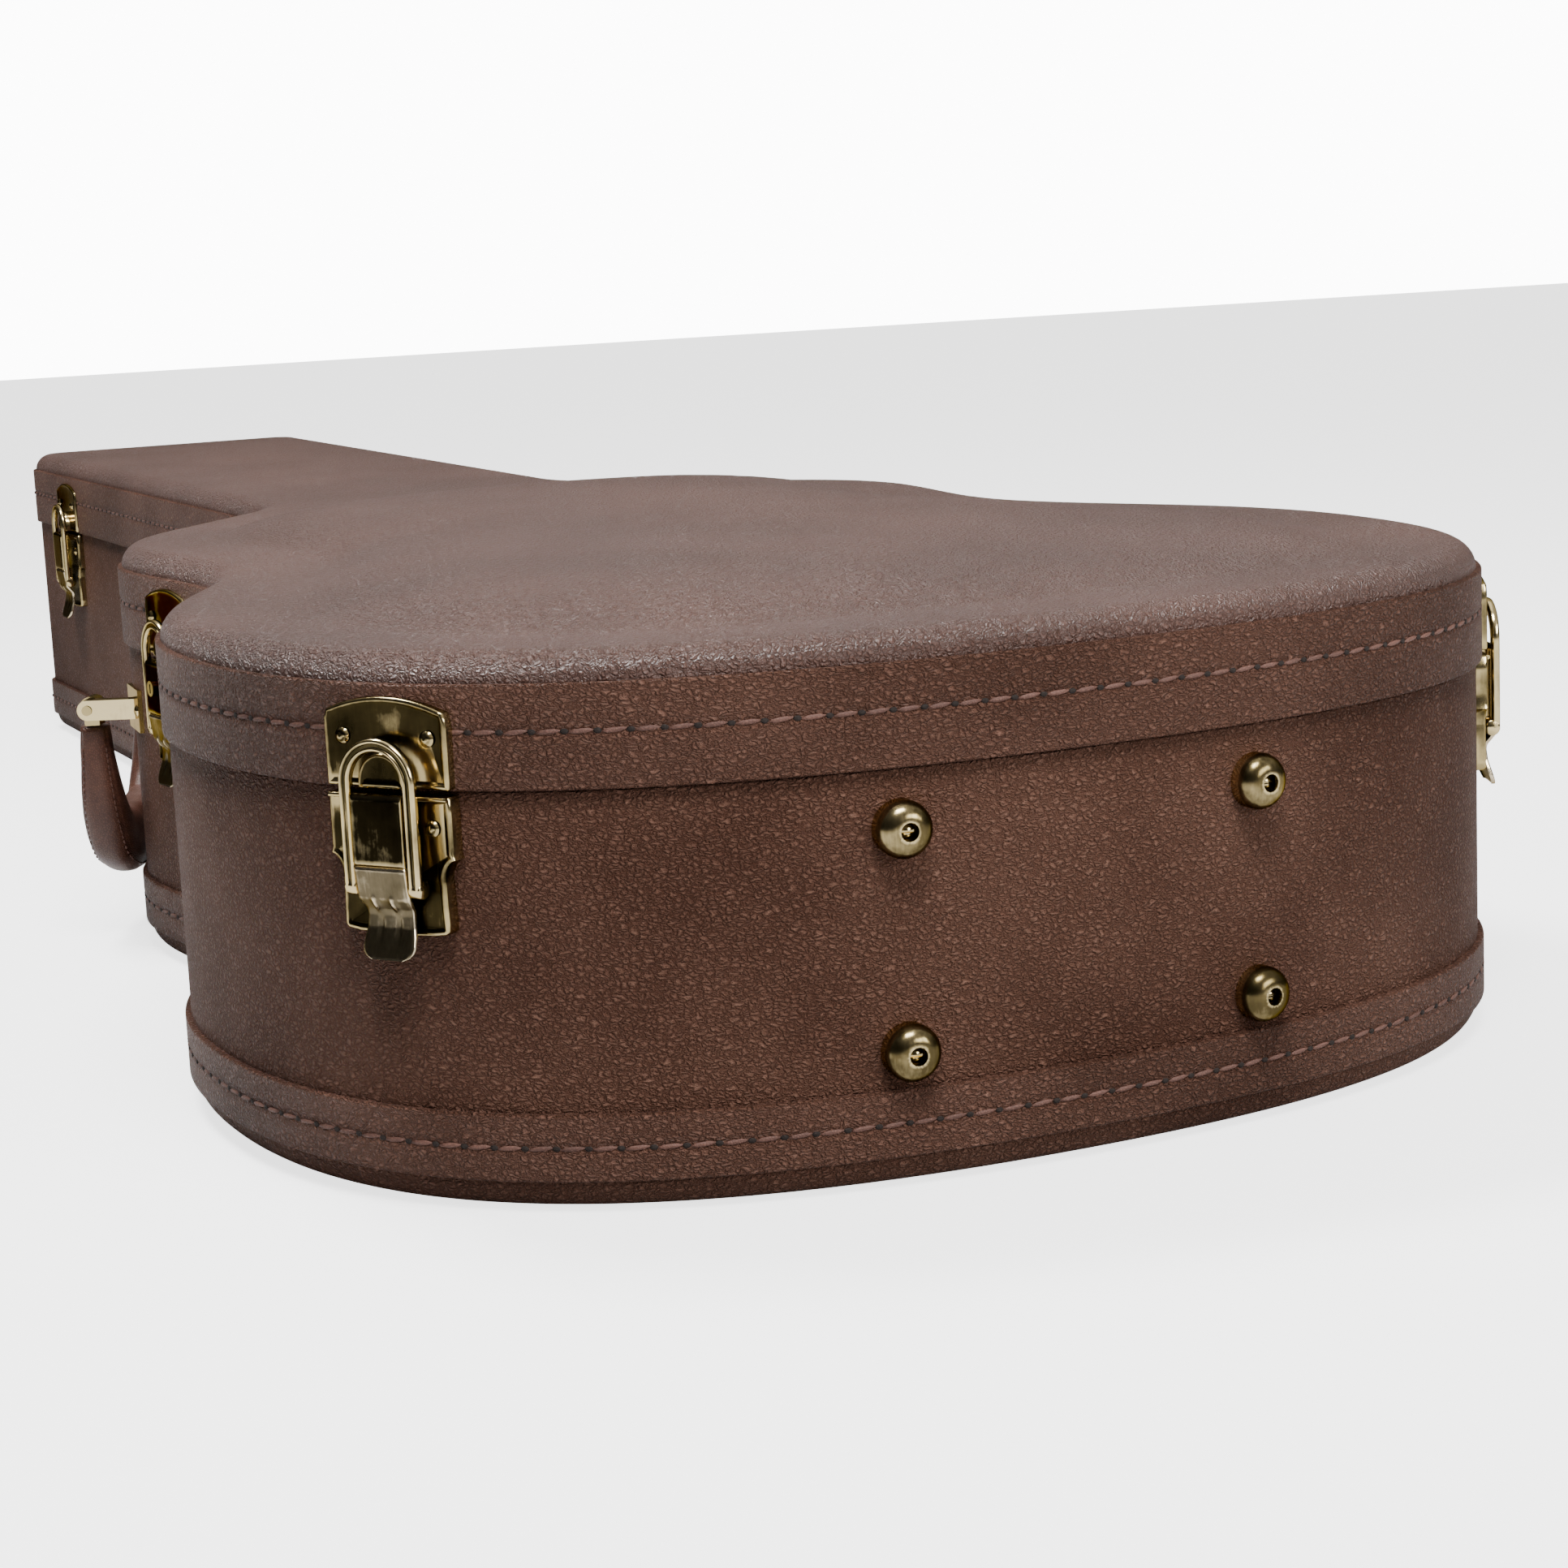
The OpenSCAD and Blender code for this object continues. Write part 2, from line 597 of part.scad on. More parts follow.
keeper(2);  // keeper_head_left
keeper(3);  // keeper_tail_right
lever(0);  // lever_tail_left
lever(1);  // lever_waist_left
lever(2);  // lever_head_left
lever(3);  // lever_tail_right
hoop(0);  // hoop_tail_left
hoop(1);  // hoop_waist_left
hoop(2);  // hoop_head_left
hoop(3);  // hoop_tail_right
hoop_pin(0);  // hoop_pin_tail_left
hoop_pin(1);  // hoop_pin_waist_left
hoop_pin(2);  // hoop_pin_head_left
hoop_pin(3);  // hoop_pin_tail_right
lever_pins();
plate_rivets();
keeper_rivets();
lock_plug();
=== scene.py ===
"""Hardshell guitar case lying on its back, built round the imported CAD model.

Lengths are in millimetres where a name ends in _mm or a function says so, and in metres in Blender.
"""
import json
import math

import bmesh
import bpy
import numpy as np
from mathutils import Matrix, Vector, noise


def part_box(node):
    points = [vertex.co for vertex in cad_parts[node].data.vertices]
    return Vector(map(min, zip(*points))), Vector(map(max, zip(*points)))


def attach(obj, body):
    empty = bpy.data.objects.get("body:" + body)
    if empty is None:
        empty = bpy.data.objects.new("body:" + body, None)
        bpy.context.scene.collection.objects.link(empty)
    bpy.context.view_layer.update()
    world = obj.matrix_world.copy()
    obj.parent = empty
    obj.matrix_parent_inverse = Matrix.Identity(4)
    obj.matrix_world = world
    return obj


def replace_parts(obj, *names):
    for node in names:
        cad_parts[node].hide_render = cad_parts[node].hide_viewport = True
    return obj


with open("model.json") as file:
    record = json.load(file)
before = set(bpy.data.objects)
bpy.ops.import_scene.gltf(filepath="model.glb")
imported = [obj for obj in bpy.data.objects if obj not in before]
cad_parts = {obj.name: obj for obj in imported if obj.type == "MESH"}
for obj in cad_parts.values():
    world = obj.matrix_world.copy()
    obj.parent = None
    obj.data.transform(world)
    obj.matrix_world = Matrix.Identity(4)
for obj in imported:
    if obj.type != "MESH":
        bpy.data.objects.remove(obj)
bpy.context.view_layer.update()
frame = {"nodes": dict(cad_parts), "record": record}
NODES = frame["nodes"]
MM = 0.001

# ---- Driving sizes, in millimetres, as in the part's source ------------------------------------

CASE_LEN = 1090.0
LOWER, WAIST, UPPER, NECK, HEAD = 219.0, 164.0, 172.5, 73.5, 80.0
LOWER_Y, WAIST_Y, UPPER_Y, NECK_Y = 177.0, 354.0, 441.0, 620.0
SHOULDER = (126.0, 532.0)
CORNER_R = 18.0
BOTTOM_H, BAND_TOP, PARTING = 9.0, 29.0, 122.0
LID_Z, BAND_Z = 122.3, 152.5
EDGE_IN, EDGE_RISE, DOME_RISE, BORDER = 9.0, 8.5, 11.0, 27.0
BORDER_Z = BAND_Z + EDGE_RISE
WALL_T, PAD_T, BAND_T = 5.0, 7.0, 2.0
FLOOR_Z, PAD_TOP, TONGUE_TOP = 15.0, 108.0, 129.5
LINING_T = 4.0
LID_TOP_T = 5.0
ROLL_END = -EDGE_IN - 3
BORDER_START = -EDGE_IN - 6
STITCH_PITCH = 9.3
LOWER_STITCH_Z, LID_STITCH_Z = 19.0, 139.0
SHELL_PARTS = ("tail", "right", "left", "head")


# ---- Camera and studio -------------------------------------------------------------------------

def make_camera():
    """The camera of the photograph: its place, its turn and its lens."""
    yaw, pitch, roll = (math.radians(a) for a in (-24.3, 10.18, -2.67))
    forward = Vector((-math.sin(yaw) * math.cos(pitch), math.cos(yaw) * math.cos(pitch), -math.sin(pitch)))
    right = Vector((math.cos(yaw), math.sin(yaw), 0))
    down = forward.cross(right)
    turned_right = right * math.cos(roll) - down * math.sin(roll)
    turned_down = right * math.sin(roll) + down * math.cos(roll)
    data = bpy.data.cameras.new("camera")
    data.lens = 71.78
    data.sensor_width = 36
    data.clip_end = 50
    camera = bpy.data.objects.new("camera", data)
    bpy.context.scene.collection.objects.link(camera)
    turn = Matrix((turned_right, -turned_down, -forward)).transposed()
    camera.matrix_world = Matrix.Translation((-0.445, -1.3185, 0.2747)) @ turn.to_4x4()
    bpy.context.scene.camera = camera


def area_light(name, place, target, size, power):
    data = bpy.data.lights.new(name, "AREA")
    data.shape = "RECTANGLE"
    data.size, data.size_y = size
    data.energy = power
    light = bpy.data.objects.new(name, data)
    bpy.context.scene.collection.objects.link(light)
    light.location = place
    light.rotation_euler = (Vector(target) - Vector(place)).to_track_quat("-Z", "Y").to_euler()


def make_studio():
    """A white floor, a pale surround and large soft lamps."""
    world = bpy.data.worlds.new("studio")
    bpy.context.scene.world = world
    world.use_nodes = True
    tree = world.node_tree
    tree.nodes.clear()
    output = tree.nodes.new("ShaderNodeOutputWorld")
    mix = tree.nodes.new("ShaderNodeMixShader")
    seen = tree.nodes.new("ShaderNodeBackground")
    lit = tree.nodes.new("ShaderNodeBackground")
    path = tree.nodes.new("ShaderNodeLightPath")
    seen.inputs[0].default_value = (1, 1, 1, 1)
    seen.inputs[1].default_value = 12.0
    side = tree.nodes.new("ShaderNodeMapRange")
    for i, value in enumerate((-0.55, 0.15, 0.1, 0.66)):
        side.inputs[i + 1].default_value = value
    place = tree.nodes.new("ShaderNodeTexCoord")
    split = tree.nodes.new("ShaderNodeSeparateXYZ")
    sky = tree.nodes.new("ShaderNodeValToRGB")
    sky.color_ramp.elements[0].position = 0.08
    sky.color_ramp.elements[0].color = (0.05, 0.045, 0.04, 1)
    sky.color_ramp.elements[1].position = 0.6
    sky.color_ramp.elements[1].color = (1, 0.98, 0.95, 1)
    tree.links.new(place.outputs["Generated"], split.inputs[0])
    tree.links.new(split.outputs["Z"], sky.inputs[0])
    tree.links.new(split.outputs["X"], side.inputs[0])
    tree.links.new(side.outputs[0], lit.inputs[1])
    tree.links.new(sky.outputs[0], lit.inputs[0])
    tree.links.new(path.outputs["Is Camera Ray"], mix.inputs[0])
    tree.links.new(lit.outputs[0], mix.inputs[1])
    tree.links.new(seen.outputs[0], mix.inputs[2])
    tree.links.new(mix.outputs[0], output.inputs[0])
    bpy.ops.mesh.primitive_plane_add(size=12, location=(0, 0, -0.0005))
    floor = bpy.context.object
    floor.name = "floor"
    material = bpy.data.materials.new("floor")
    material.use_nodes = True
    shader = material.node_tree.nodes["Principled BSDF"]
    shader.inputs["Base Color"].default_value = (0.55, 0.55, 0.55, 1)
    shader.inputs["Roughness"].default_value = 0.9
    shader.inputs["Emission Color"].default_value = (2.4, 2.4, 2.4, 1)
    seen_only = material.node_tree.nodes.new("ShaderNodeLightPath")
    material.node_tree.links.new(seen_only.outputs["Is Camera Ray"], shader.inputs["Emission Strength"])
    floor.data.materials.append(material)
    area_light("key", (-0.3, -1.3, 2.0), (-0.05, -0.5, 0.1), (0.9, 0.6), 78)
    area_light("top", (0.35, 0.25, 2.2), (0.1, -0.1, 0.1), (1.6, 1.8), 9)
    area_light("edge", (-0.45, 0.3, 1.5), (-0.12, -0.42, 0.15), (0.5, 0.25), 48)
    area_light("front", (0.9, -2.4, 0.9), (0.05, -0.4, 0.08), (1.2, 0.7), 52)


# ---- Outline -----------------------------------------------------------------------------------

def bezier(a, b, c, d, count):
    t = (np.arange(count) / count)[:, None]
    a, b, c, d = (np.array(p, float) for p in (a, b, c, d))
    return (1 - t) ** 3 * a + 3 * (1 - t) ** 2 * t * b + 3 * (1 - t) * t ** 2 * c + t ** 3 * d


def straight(a, b, count):
    t = (np.arange(count) / count)[:, None]
    return (1 - t) * np.array(a, float) + t * np.array(b, float)


def half_outline(fine=4):
    sx, sy = SHOULDER
    head_y = CASE_LEN - CORNER_R
    corner = [(HEAD - CORNER_R * (1 - math.cos(a)), head_y + CORNER_R * math.sin(a))
              for a in np.radians(np.arange(4 * fine) * 90 / (4 * fine))]
    return np.concatenate([
        bezier((0, 0), (150, 0), (LOWER, 57), (LOWER, LOWER_Y), 20 * fine),
        bezier((LOWER, LOWER_Y), (LOWER, LOWER_Y + 85), (WAIST, WAIST_Y - 60), (WAIST, WAIST_Y), 12 * fine),
        bezier((WAIST, WAIST_Y), (WAIST, WAIST_Y + 30), (UPPER, UPPER_Y - 25), (UPPER, UPPER_Y), 6 * fine),
        bezier((UPPER, UPPER_Y), (UPPER, UPPER_Y + 48), (sx + 19.5, sy - 22.8), SHOULDER, 8 * fine),
        bezier(SHOULDER, (sx - 26, sy + 30.4), (NECK, NECK_Y - 35), (NECK, NECK_Y), 8 * fine),
        straight((NECK, NECK_Y), (HEAD, head_y), 14 * fine),
        np.array(corner),
        straight((HEAD - CORNER_R, CASE_LEN), (0, CASE_LEN), 2 * fine),
        np.array([[0, CASE_LEN]]),
    ])


def full_outline():
    half = half_outline()
    left = half[-2:0:-1] * np.array([-1, 1])
    return np.concatenate([half, left]) - np.array([0, CASE_LEN / 2])


OUTLINE = full_outline()
HALF_COUNT = len(half_outline())


def outline_normals(points):
    ahead = np.roll(points, -1, 0) - points
    behind = points - np.roll(points, 1, 0)
    ahead /= np.linalg.norm(ahead, axis=1)[:, None]
    behind /= np.linalg.norm(behind, axis=1)[:, None]
    tangent = ahead + behind
    tangent /= np.linalg.norm(tangent, axis=1)[:, None]
    return np.stack([tangent[:, 1], -tangent[:, 0]], 1)


NORMALS = outline_normals(OUTLINE)


def ring(offset, z):
    """The outline grown by an offset, at one height, both in millimetres."""
    flat = OUTLINE + np.asarray(offset, float).reshape(-1, 1) * NORMALS
    return np.column_stack([flat, np.broadcast_to(z, len(flat))])


# ---- Mesh helpers --------------------------------------------------------------------------------

def new_object(name, verts, faces, body, material):
    """A mesh object from points in millimetres, which rides on a body."""
    mesh = bpy.data.meshes.new(name)
    mesh.from_pydata([tuple(float(c) * MM for c in v) for v in verts], [], [tuple(map(int, f)) for f in faces])
    mesh.validate()
    mesh.polygons.foreach_set("use_smooth", [True] * len(mesh.polygons))
    obj = bpy.data.objects.new(name, mesh)
    bpy.context.scene.collection.objects.link(obj)
    mesh.materials.append(material)
    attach(obj, body)
    return obj


def loft(rings, closed=True, cap_start=False, cap_end=False):
    """Points and faces of a skin over rings of equal length. A closed loft joins the last ring to the first."""
    count = len(rings[0])
    verts = np.concatenate(rings)
    faces = []
    last = len(rings) if closed else len(rings) - 1
    for k in range(last):
        low, high = k * count, (k + 1) % len(rings) * count
        for i in range(count):
            j = (i + 1) % count
            faces.append((low + i, low + j, high + j, high + i))
    if cap_start:
        faces.append(tuple(range(count))[::-1])
    if cap_end:
        faces.append(tuple(range((len(rings) - 1) * count, len(rings) * count)))
    return verts, faces


def swept(name, profile, body, material):
    """A closed profile of (offset, height) points carried round the outline."""
    verts, faces = loft([ring(o, z) for o, z in profile])
    return new_object(name, verts, faces, body, material)


def quarter(c, r, start):
    """Points on a quarter circle about c, from an angle in degrees, in (offset, height)."""
    angles = [math.radians(start + 18 * i) for i in range(6)]
    return [(c[0] + r * math.cos(a), c[1] + r * math.sin(a)) for a in angles]


def sharpen(obj, angle):
    obj.data.set_sharp_from_angle(angle=math.radians(angle))


def face_outwards(obj):
    tidy = bmesh.new()
    tidy.from_mesh(obj.data)
    bmesh.ops.recalc_face_normals(tidy, faces=tidy.faces)
    tidy.to_mesh(obj.data)
    tidy.free()


# ---- Materials -----------------------------------------------------------------------------------

class Tree:
    """A short way to lay out shader nodes."""

    def __init__(self, name):
        self.material = bpy.data.materials.new(name)
        self.material.use_nodes = True
        self.tree = self.material.node_tree
        self.shader = self.tree.nodes["Principled BSDF"]
        coords = self.add("ShaderNodeTexCoord")
        self.place = coords.outputs["Object"]

    def add(self, kind, **values):
        node = self.tree.nodes.new(kind)
        for key, value in values.items():
            if hasattr(node, key):
                setattr(node, key, value)
            else:
                node.inputs[key.replace("_", " ")].default_value = value
        return node

    def link(self, a, b):
        self.tree.links.new(a, b)

    def scaled(self, scale, source=None):
        node = self.add("ShaderNodeMapping")
        node.inputs["Scale"].default_value = scale
        self.link(source or self.place, node.inputs["Vector"])
        return node.outputs[0]

    def noise(self, scale, detail=4, rough=0.55, source=None):
        node = self.add("ShaderNodeTexNoise", Scale=scale, Detail=detail, Roughness=rough)
        self.link(source or self.place, node.inputs["Vector"])
        return node

    def cells(self, scale, source, feature="DISTANCE_TO_EDGE"):
        node = self.add("ShaderNodeTexVoronoi", feature=feature, Scale=scale)
        self.link(source, node.inputs["Vector"])
        return node.outputs["Distance"]

    def warped(self, source, scale, amount):
        """Coordinates pushed about by noise."""
        push = self.noise(scale, 3, 0.5, source)
        centred = self.add("ShaderNodeVectorMath", operation="SUBTRACT")
        centred.inputs[1].default_value = (0.5, 0.5, 0.5)
        self.link(push.outputs["Color"], centred.inputs[0])
        size = self.add("ShaderNodeVectorMath", operation="SCALE")
        size.inputs["Scale"].default_value = amount
        self.link(centred.outputs[0], size.inputs[0])
        total = self.add("ShaderNodeVectorMath", operation="ADD")
        self.link(source, total.inputs[0])
        self.link(size.outputs[0], total.inputs[1])
        return total.outputs[0]

    def remap(self, source, low, high, to_low, to_high):
        node = self.add("ShaderNodeMapRange")
        for i, value in enumerate((low, high, to_low, to_high)):
            node.inputs[i + 1].default_value = value
        self.link(source, node.inputs[0])
        return node.outputs[0]

    def math(self, operation, a, b):
        node = self.add("ShaderNodeMath", operation=operation)
        for i, value in enumerate((a, b)):
            if isinstance(value, (int, float)):
                node.inputs[i].default_value = value
            else:
                self.link(value, node.inputs[i])
        return node.outputs[0]

    def ramp(self, source, stops):
        node = self.add("ShaderNodeValToRGB")
        ramp = node.color_ramp
        for i, (place, colour) in enumerate(stops):
            stop = ramp.elements[i] if i < len(ramp.elements) else ramp.elements.new(place)
            stop.position = place
            stop.color = (*colour, 1)
        self.link(source, node.inputs[0])
        return node.outputs[0]

    def bump(self, height, distance, strength):
        node = self.add("ShaderNodeBump", Strength=strength, Distance=distance)
        self.link(height, node.inputs["Height"])
        return node.outputs[0]

    def done(self, colour, roughness, normal, **fixed):
        self.link(colour, self.shader.inputs["Base Color"])
        self.link(roughness, self.shader.inputs["Roughness"])
        self.link(normal, self.shader.inputs["Normal"])
        for key, value in fixed.items():
            self.shader.inputs[key.replace("_", " ")].default_value = value
        return self.material


def vinyl(name, stretch, dark, mid, light, rough, depth, shine):
    """Pebbled vinyl: cells drawn out sideways, with fine creases and slow changes of colour; the grooves between
    cells are also painted darker, as shade.
    """
    t = Tree(name)
    flat = t.scaled(stretch)
    wavy = t.warped(flat, 300, 0.0055)
    cells = t.cells(430, wavy)
    pebble_height_and_shade = t.remap(cells, 0.0, 0.42, 0.0, 1.0)
    fine = t.noise(1500, 3, 0.6, flat)
    broad = t.noise(9, 3)
    height = t.math("ADD", pebble_height_and_shade, t.math("MULTIPLY", fine.outputs["Fac"], 0.5))
    # The cells also darken the colour in their grooves: painted shade between the pebbles.
    tone = t.math("ADD", t.math("MULTIPLY", pebble_height_and_shade, 0.34), t.math("MULTIPLY", broad.outputs["Fac"], 0.72))
    colour = t.ramp(tone, [(0.3, dark), (0.55, mid), (0.85, light)])
    roughness = t.remap(tone, 0.1, 1.0, rough + 0.12, rough - 0.05)
    return t.done(colour, roughness, t.bump(height, depth, 1.0), Specular_IOR_Level=shine)


def brass(name, dark, mid, light, rough):
    """Antique brass: clouded tone, fine scratches, and edges lightened by a painted highlight."""
    t = Tree(name)
    cloud = t.noise(55, 5, 0.6)
    scratch = t.noise(900, 2, 0.6, t.scaled((1, 1, 0.08)))
    tone = t.math("ADD", t.math("MULTIPLY", cloud.outputs["Fac"], 0.85),
                  t.math("MULTIPLY", scratch.outputs["Fac"], 0.15))
    # Pointiness lightens the colour at edges: a painted highlight, not wear.
    edge = t.remap(t.add("ShaderNodeNewGeometry").outputs["Pointiness"], 0.505, 0.56, 0.0, 0.45)
    tone = t.math("ADD", tone, edge)
    colour = t.ramp(tone, [(0.35, dark), (0.58, mid), (0.9, light)])
    roughness = t.remap(tone, 0.3, 0.9, rough + 0.1, rough - 0.05)
    return t.done(colour, roughness, t.bump(scratch.outputs["Fac"], 0.00003, 0.5), Metallic=1.0,
                  Specular_Tint=(0.45, 0.38, 0.26, 1))


def plush(name, dark, light):
    """Short-pile plush: mottled pile with a soft sheen."""
    t = Tree(name)
    pile = t.noise(1400, 4, 0.7)
    nap = t.noise(26, 4, 0.6)
    tone = t.math("ADD", t.math("MULTIPLY", pile.outputs["Fac"], 0.45), t.math("MULTIPLY", nap.outputs["Fac"], 0.6))
    colour = t.ramp(tone, [(0.3, dark), (0.75, light)])
    roughness = t.remap(pile.outputs["Fac"], 0.3, 0.7, 0.85, 1.0)
    return t.done(colour, roughness, t.bump(tone, 0.0008, 0.6), Sheen_Weight=0.6, Sheen_Roughness=0.4)


def leather(name, dark, light, rough):
    """Smooth leather: fine pores, soft creases and rubbed tone."""
    t = Tree(name)
    pores = t.cells(1100, t.warped(t.place, 400, 0.001))
    rub = t.noise(30, 4, 0.6)
    grain = t.remap(pores, 0.0, 0.3, 0.0, 1.0)
    tone = t.math("ADD", t.math("MULTIPLY", grain, 0.25), t.math("MULTIPLY", rub.outputs["Fac"], 0.75))
    colour = t.ramp(tone, [(0.3, dark), (0.75, light)])
    roughness = t.remap(tone, 0.2, 0.9, rough + 0.1, rough - 0.08)
    return t.done(colour, roughness, t.bump(grain, 0.00012, 0.6), Specular_IOR_Level=0.3)


SIDE_VINYL = vinyl("side_vinyl", (1, 1, 1.6), (0.062, 0.026, 0.016), (0.126, 0.061, 0.041), (0.215, 0.115, 0.082),
                   0.5, 0.0034, 0.06)
TOP_VINYL = vinyl("top_vinyl", (1.3, 1, 1.3), (0.046, 0.022, 0.016), (0.073, 0.036, 0.027),
                  (0.112, 0.060, 0.047), 0.28, 0.0008, 0.38)
BAND_VINYL = vinyl("band_vinyl", (1, 1, 1.6), (0.060, 0.025, 0.015), (0.124, 0.059, 0.040), (0.225, 0.117, 0.083),
                   0.42, 0.0030, 0.10)
THREAD = leather("thread", (0.05, 0.022, 0.016), (0.12, 0.055, 0.04), 0.6)
# Near-black marks at the stitch holes: painted shade.
HOLE_SHADE = leather("stitch_hole_shade", (0.006, 0.003, 0.002), (0.012, 0.007, 0.005), 0.8)
BRASS = brass("antique_brass", (0.010, 0.0075, 0.003), (0.028, 0.021, 0.008), (0.42, 0.33, 0.16), 0.2)
BRIGHT_BRASS = brass("rubbed_brass", (0.085, 0.062, 0.022), (0.22, 0.165, 0.065), (0.70, 0.57, 0.31), 0.2)
HOOP_BRASS = brass("hoop_brass", (0.035, 0.027, 0.011), (0.095, 0.072, 0.030), (0.60, 0.48, 0.25), 0.2)
# Near-black copy of the brass: painted dark reflection on the lever's face, and painted shade on the feet's screws
# and the lock plug.
SHADED_BRASS = brass("shaded_brass", (0.003, 0.0022, 0.001), (0.008, 0.006, 0.0025), (0.36, 0.29, 0.15), 0.14)
# A lighter copy of the brass for the lever's outward-flared tail: painted reflection.
LIT_TAIL_BRASS = brass("lit_tail_brass", (0.055, 0.043, 0.023), (0.12, 0.098, 0.06), (0.60, 0.50, 0.34), 0.27)
PLUSH = plush("plush", (0.30, 0.19, 0.085), (0.52, 0.36, 0.18))
LEATHER = leather("handle_leather", (0.030, 0.010, 0.006), (0.105, 0.045, 0.028), 0.36)


# ---- Lid -----------------------------------------------------------------------------------------

DOME_LAST = 41 * 4
DOME_END_LEN = 50.0
ARCH_STEPS = 2000
SPINE = (200 - CASE_LEN / 2, 430 - CASE_LEN / 2)
CROWN_SCALES = (1.03, 1.0, 0.985, 0.97, 0.95, 0.93, 0.91, 0.885, 0.86, 0.835, 0.81, 0.78, 0.74, 0.7, 0.65, 0.58,
                0.5, 0.42, 0.34, 0.2, 0.06)
DOME_STEPS = [(1.0, 0.0), (0.97, 0.04), (0.91, 0.24), (0.84, 0.48), (0.74, 0.68), (0.58, 0.87), (0.36, 1.0)]


def dome_edge():
    """The dome's edge inside the outline, closed below the neck by half an ellipse.

    Each point beyond the upper bout goes to the ellipse's nearest point, so that no face crosses the notch."""
    inner = ring(-EDGE_IN - BORDER, 0)[:, :2]
    border = ring(BORDER_START, 0)[:, :2]
    count = len(inner)
    top = HALF_COUNT - 1
    edge = inner.copy()
    start = inner[DOME_LAST]
    turns = np.radians(np.linspace(0, 90, ARCH_STEPS + 1))
    arch = np.column_stack([start[0] * np.cos(turns), start[1] + DOME_END_LEN * np.sin(turns)])
    step = 0
    for k in range(DOME_LAST + 1, top + 1):
        nearest = int(np.argmin(np.linalg.norm(arch - border[k], axis=1)))
        step = min(max(nearest, step + 2), ARCH_STEPS - 2 * (top - k))
        x, y = arch[step]
        edge[k] = (x, y)
        if k < top:
            edge[count - k] = (-x, y)
    return edge


DOME_EDGE = dome_edge()


def dome_height(scale):
    """Share of the dome's rise at a scale from 1, its edge, to 0, its spine: a smooth curve."""
    steps = np.array(DOME_STEPS[::-1])
    u = np.clip(scale, 0.36, 1.0)
    span = np.interp(u, steps[:, 0], steps[:, 1])
    soft = [np.interp(np.clip(u + d, 0.36, 1.0), steps[:, 0], steps[:, 1]) for d in (-0.03, -0.015, 0.015, 0.03)]
    return (span + sum(soft)) / 5


def dome_ring(scale, drop=0.0):
    spine = np.column_stack([np.zeros(len(DOME_EDGE)), np.clip(DOME_EDGE[:, 1], *SPINE)])
    flat = spine + scale * (DOME_EDGE - spine)
    return np.column_stack([flat, np.full(len(flat), BORDER_Z + DOME_RISE * float(dome_height(scale)) - drop)])


def crown(drop=0.0):
    return [dome_ring(scale, drop) for scale in CROWN_SCALES]


def make_lid_top():
    edge = []
    for i in range(11):
        a = math.radians(9 * i)
        edge.append(ring(0.2 - (EDGE_IN + 0.2) * (1 - math.cos(a)), BAND_Z + EDGE_RISE * math.sin(a)))
    under = [ring(-WALL_T, BAND_Z), ring(ROLL_END, BORDER_Z - LID_TOP_T)] + crown(LID_TOP_T)
    rings = under[::-1] + edge + [ring(BORDER_START, BORDER_Z)] + crown()
    verts, faces = loft(rings, closed=False, cap_start=True, cap_end=True)
    top = new_object("lid_top", verts, faces, "lid", TOP_VINYL)
    sharpen(top, 60)
    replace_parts(top, "lid_panel")


def band_profile(z0, z1, stitch_z, bead):
    """A stitched band: rounded edges, a soft groove along the stitching."""
    groove = [(BAND_T - 0.45 * math.exp(-((z - stitch_z) / 1.3) ** 2), z)
              for z in np.linspace(stitch_z - 4, stitch_z + 4, 13)]
    low = quarter((BAND_T - bead, z0 + bead), bead, -90)
    high = quarter((BAND_T - bead, z1 - bead), bead, 0)
    return [(0.0, z0)] + low + groove + high + [(0.0, z1)]


def path_points(offset, z, pitch):
    """Evenly spaced places round the outline: point and tangent, in millimetres."""
    line = ring(offset, z)
    loop = np.vstack([line, line[:1]])
    steps = np.linalg.norm(np.diff(loop, axis=0), axis=1)
    along = np.concatenate([[0], np.cumsum(steps)])
    count = int(round(along[-1] / pitch))
    where = np.arange(count) * along[-1] / count
    points = np.column_stack([np.interp(where, along, loop[:, i]) for i in range(3)])
    ahead = np.column_stack([np.interp((where + 1) % along[-1], along, loop[:, i]) for i in range(3)])
    tangent = ahead - points
    return points, tangent / np.linalg.norm(tangent, axis=1)[:, None]


def capsule(length, radius, flat=0.6, rows=5, sides=8):
    """A round-ended bar along X, flattened in Y."""
    verts, faces = [], []
    for k in range(rows):
        u = -1 + 2 * k / (rows - 1)
        r = radius * math.sqrt(max(0.06, 1 - abs(u) ** 3))
        verts += [(u * length / 2, flat * r * math.cos(a), r * math.sin(a))
                  for a in np.linspace(0, 2 * math.pi, sides, endpoint=False)]
    for k in range(rows - 1):
        for i in range(sides):
            j = (i + 1) % sides
            faces.append((k * sides + i, k * sides + j, (k + 1) * sides + j, (k + 1) * sides + i))
    faces.append(tuple(range(sides))[::-1])
    faces.append(tuple(range((rows - 1) * sides, rows * sides)))
    return np.array(verts), faces


def scatter(shape, points, tangents, tilt=0.0, shift=0.0):
    """Copies of a small shape along a path, its X along the path and its Y outwards."""
    verts, faces = shape
    all_verts, all_faces = [], []
    for n, (p, t) in enumerate(zip(points, tangents)):
        out = np.array([t[1], -t[0], 0])
        up = np.array([0, 0, 1.0])
        lean = tilt * (1 + 0.25 * math.sin(n * 2.39))
        along = t * math.cos(lean) + up * math.sin(lean)
        rise = up * math.cos(lean) - t * math.sin(lean)
        base = len(verts) * n
        all_verts.append(p + t * shift + verts[:, :1] * along + verts[:, 1:2] * out + verts[:, 2:3] * rise)
        all_faces += [tuple(base + i for i in f) for f in faces]
    return np.concatenate(all_verts), all_faces


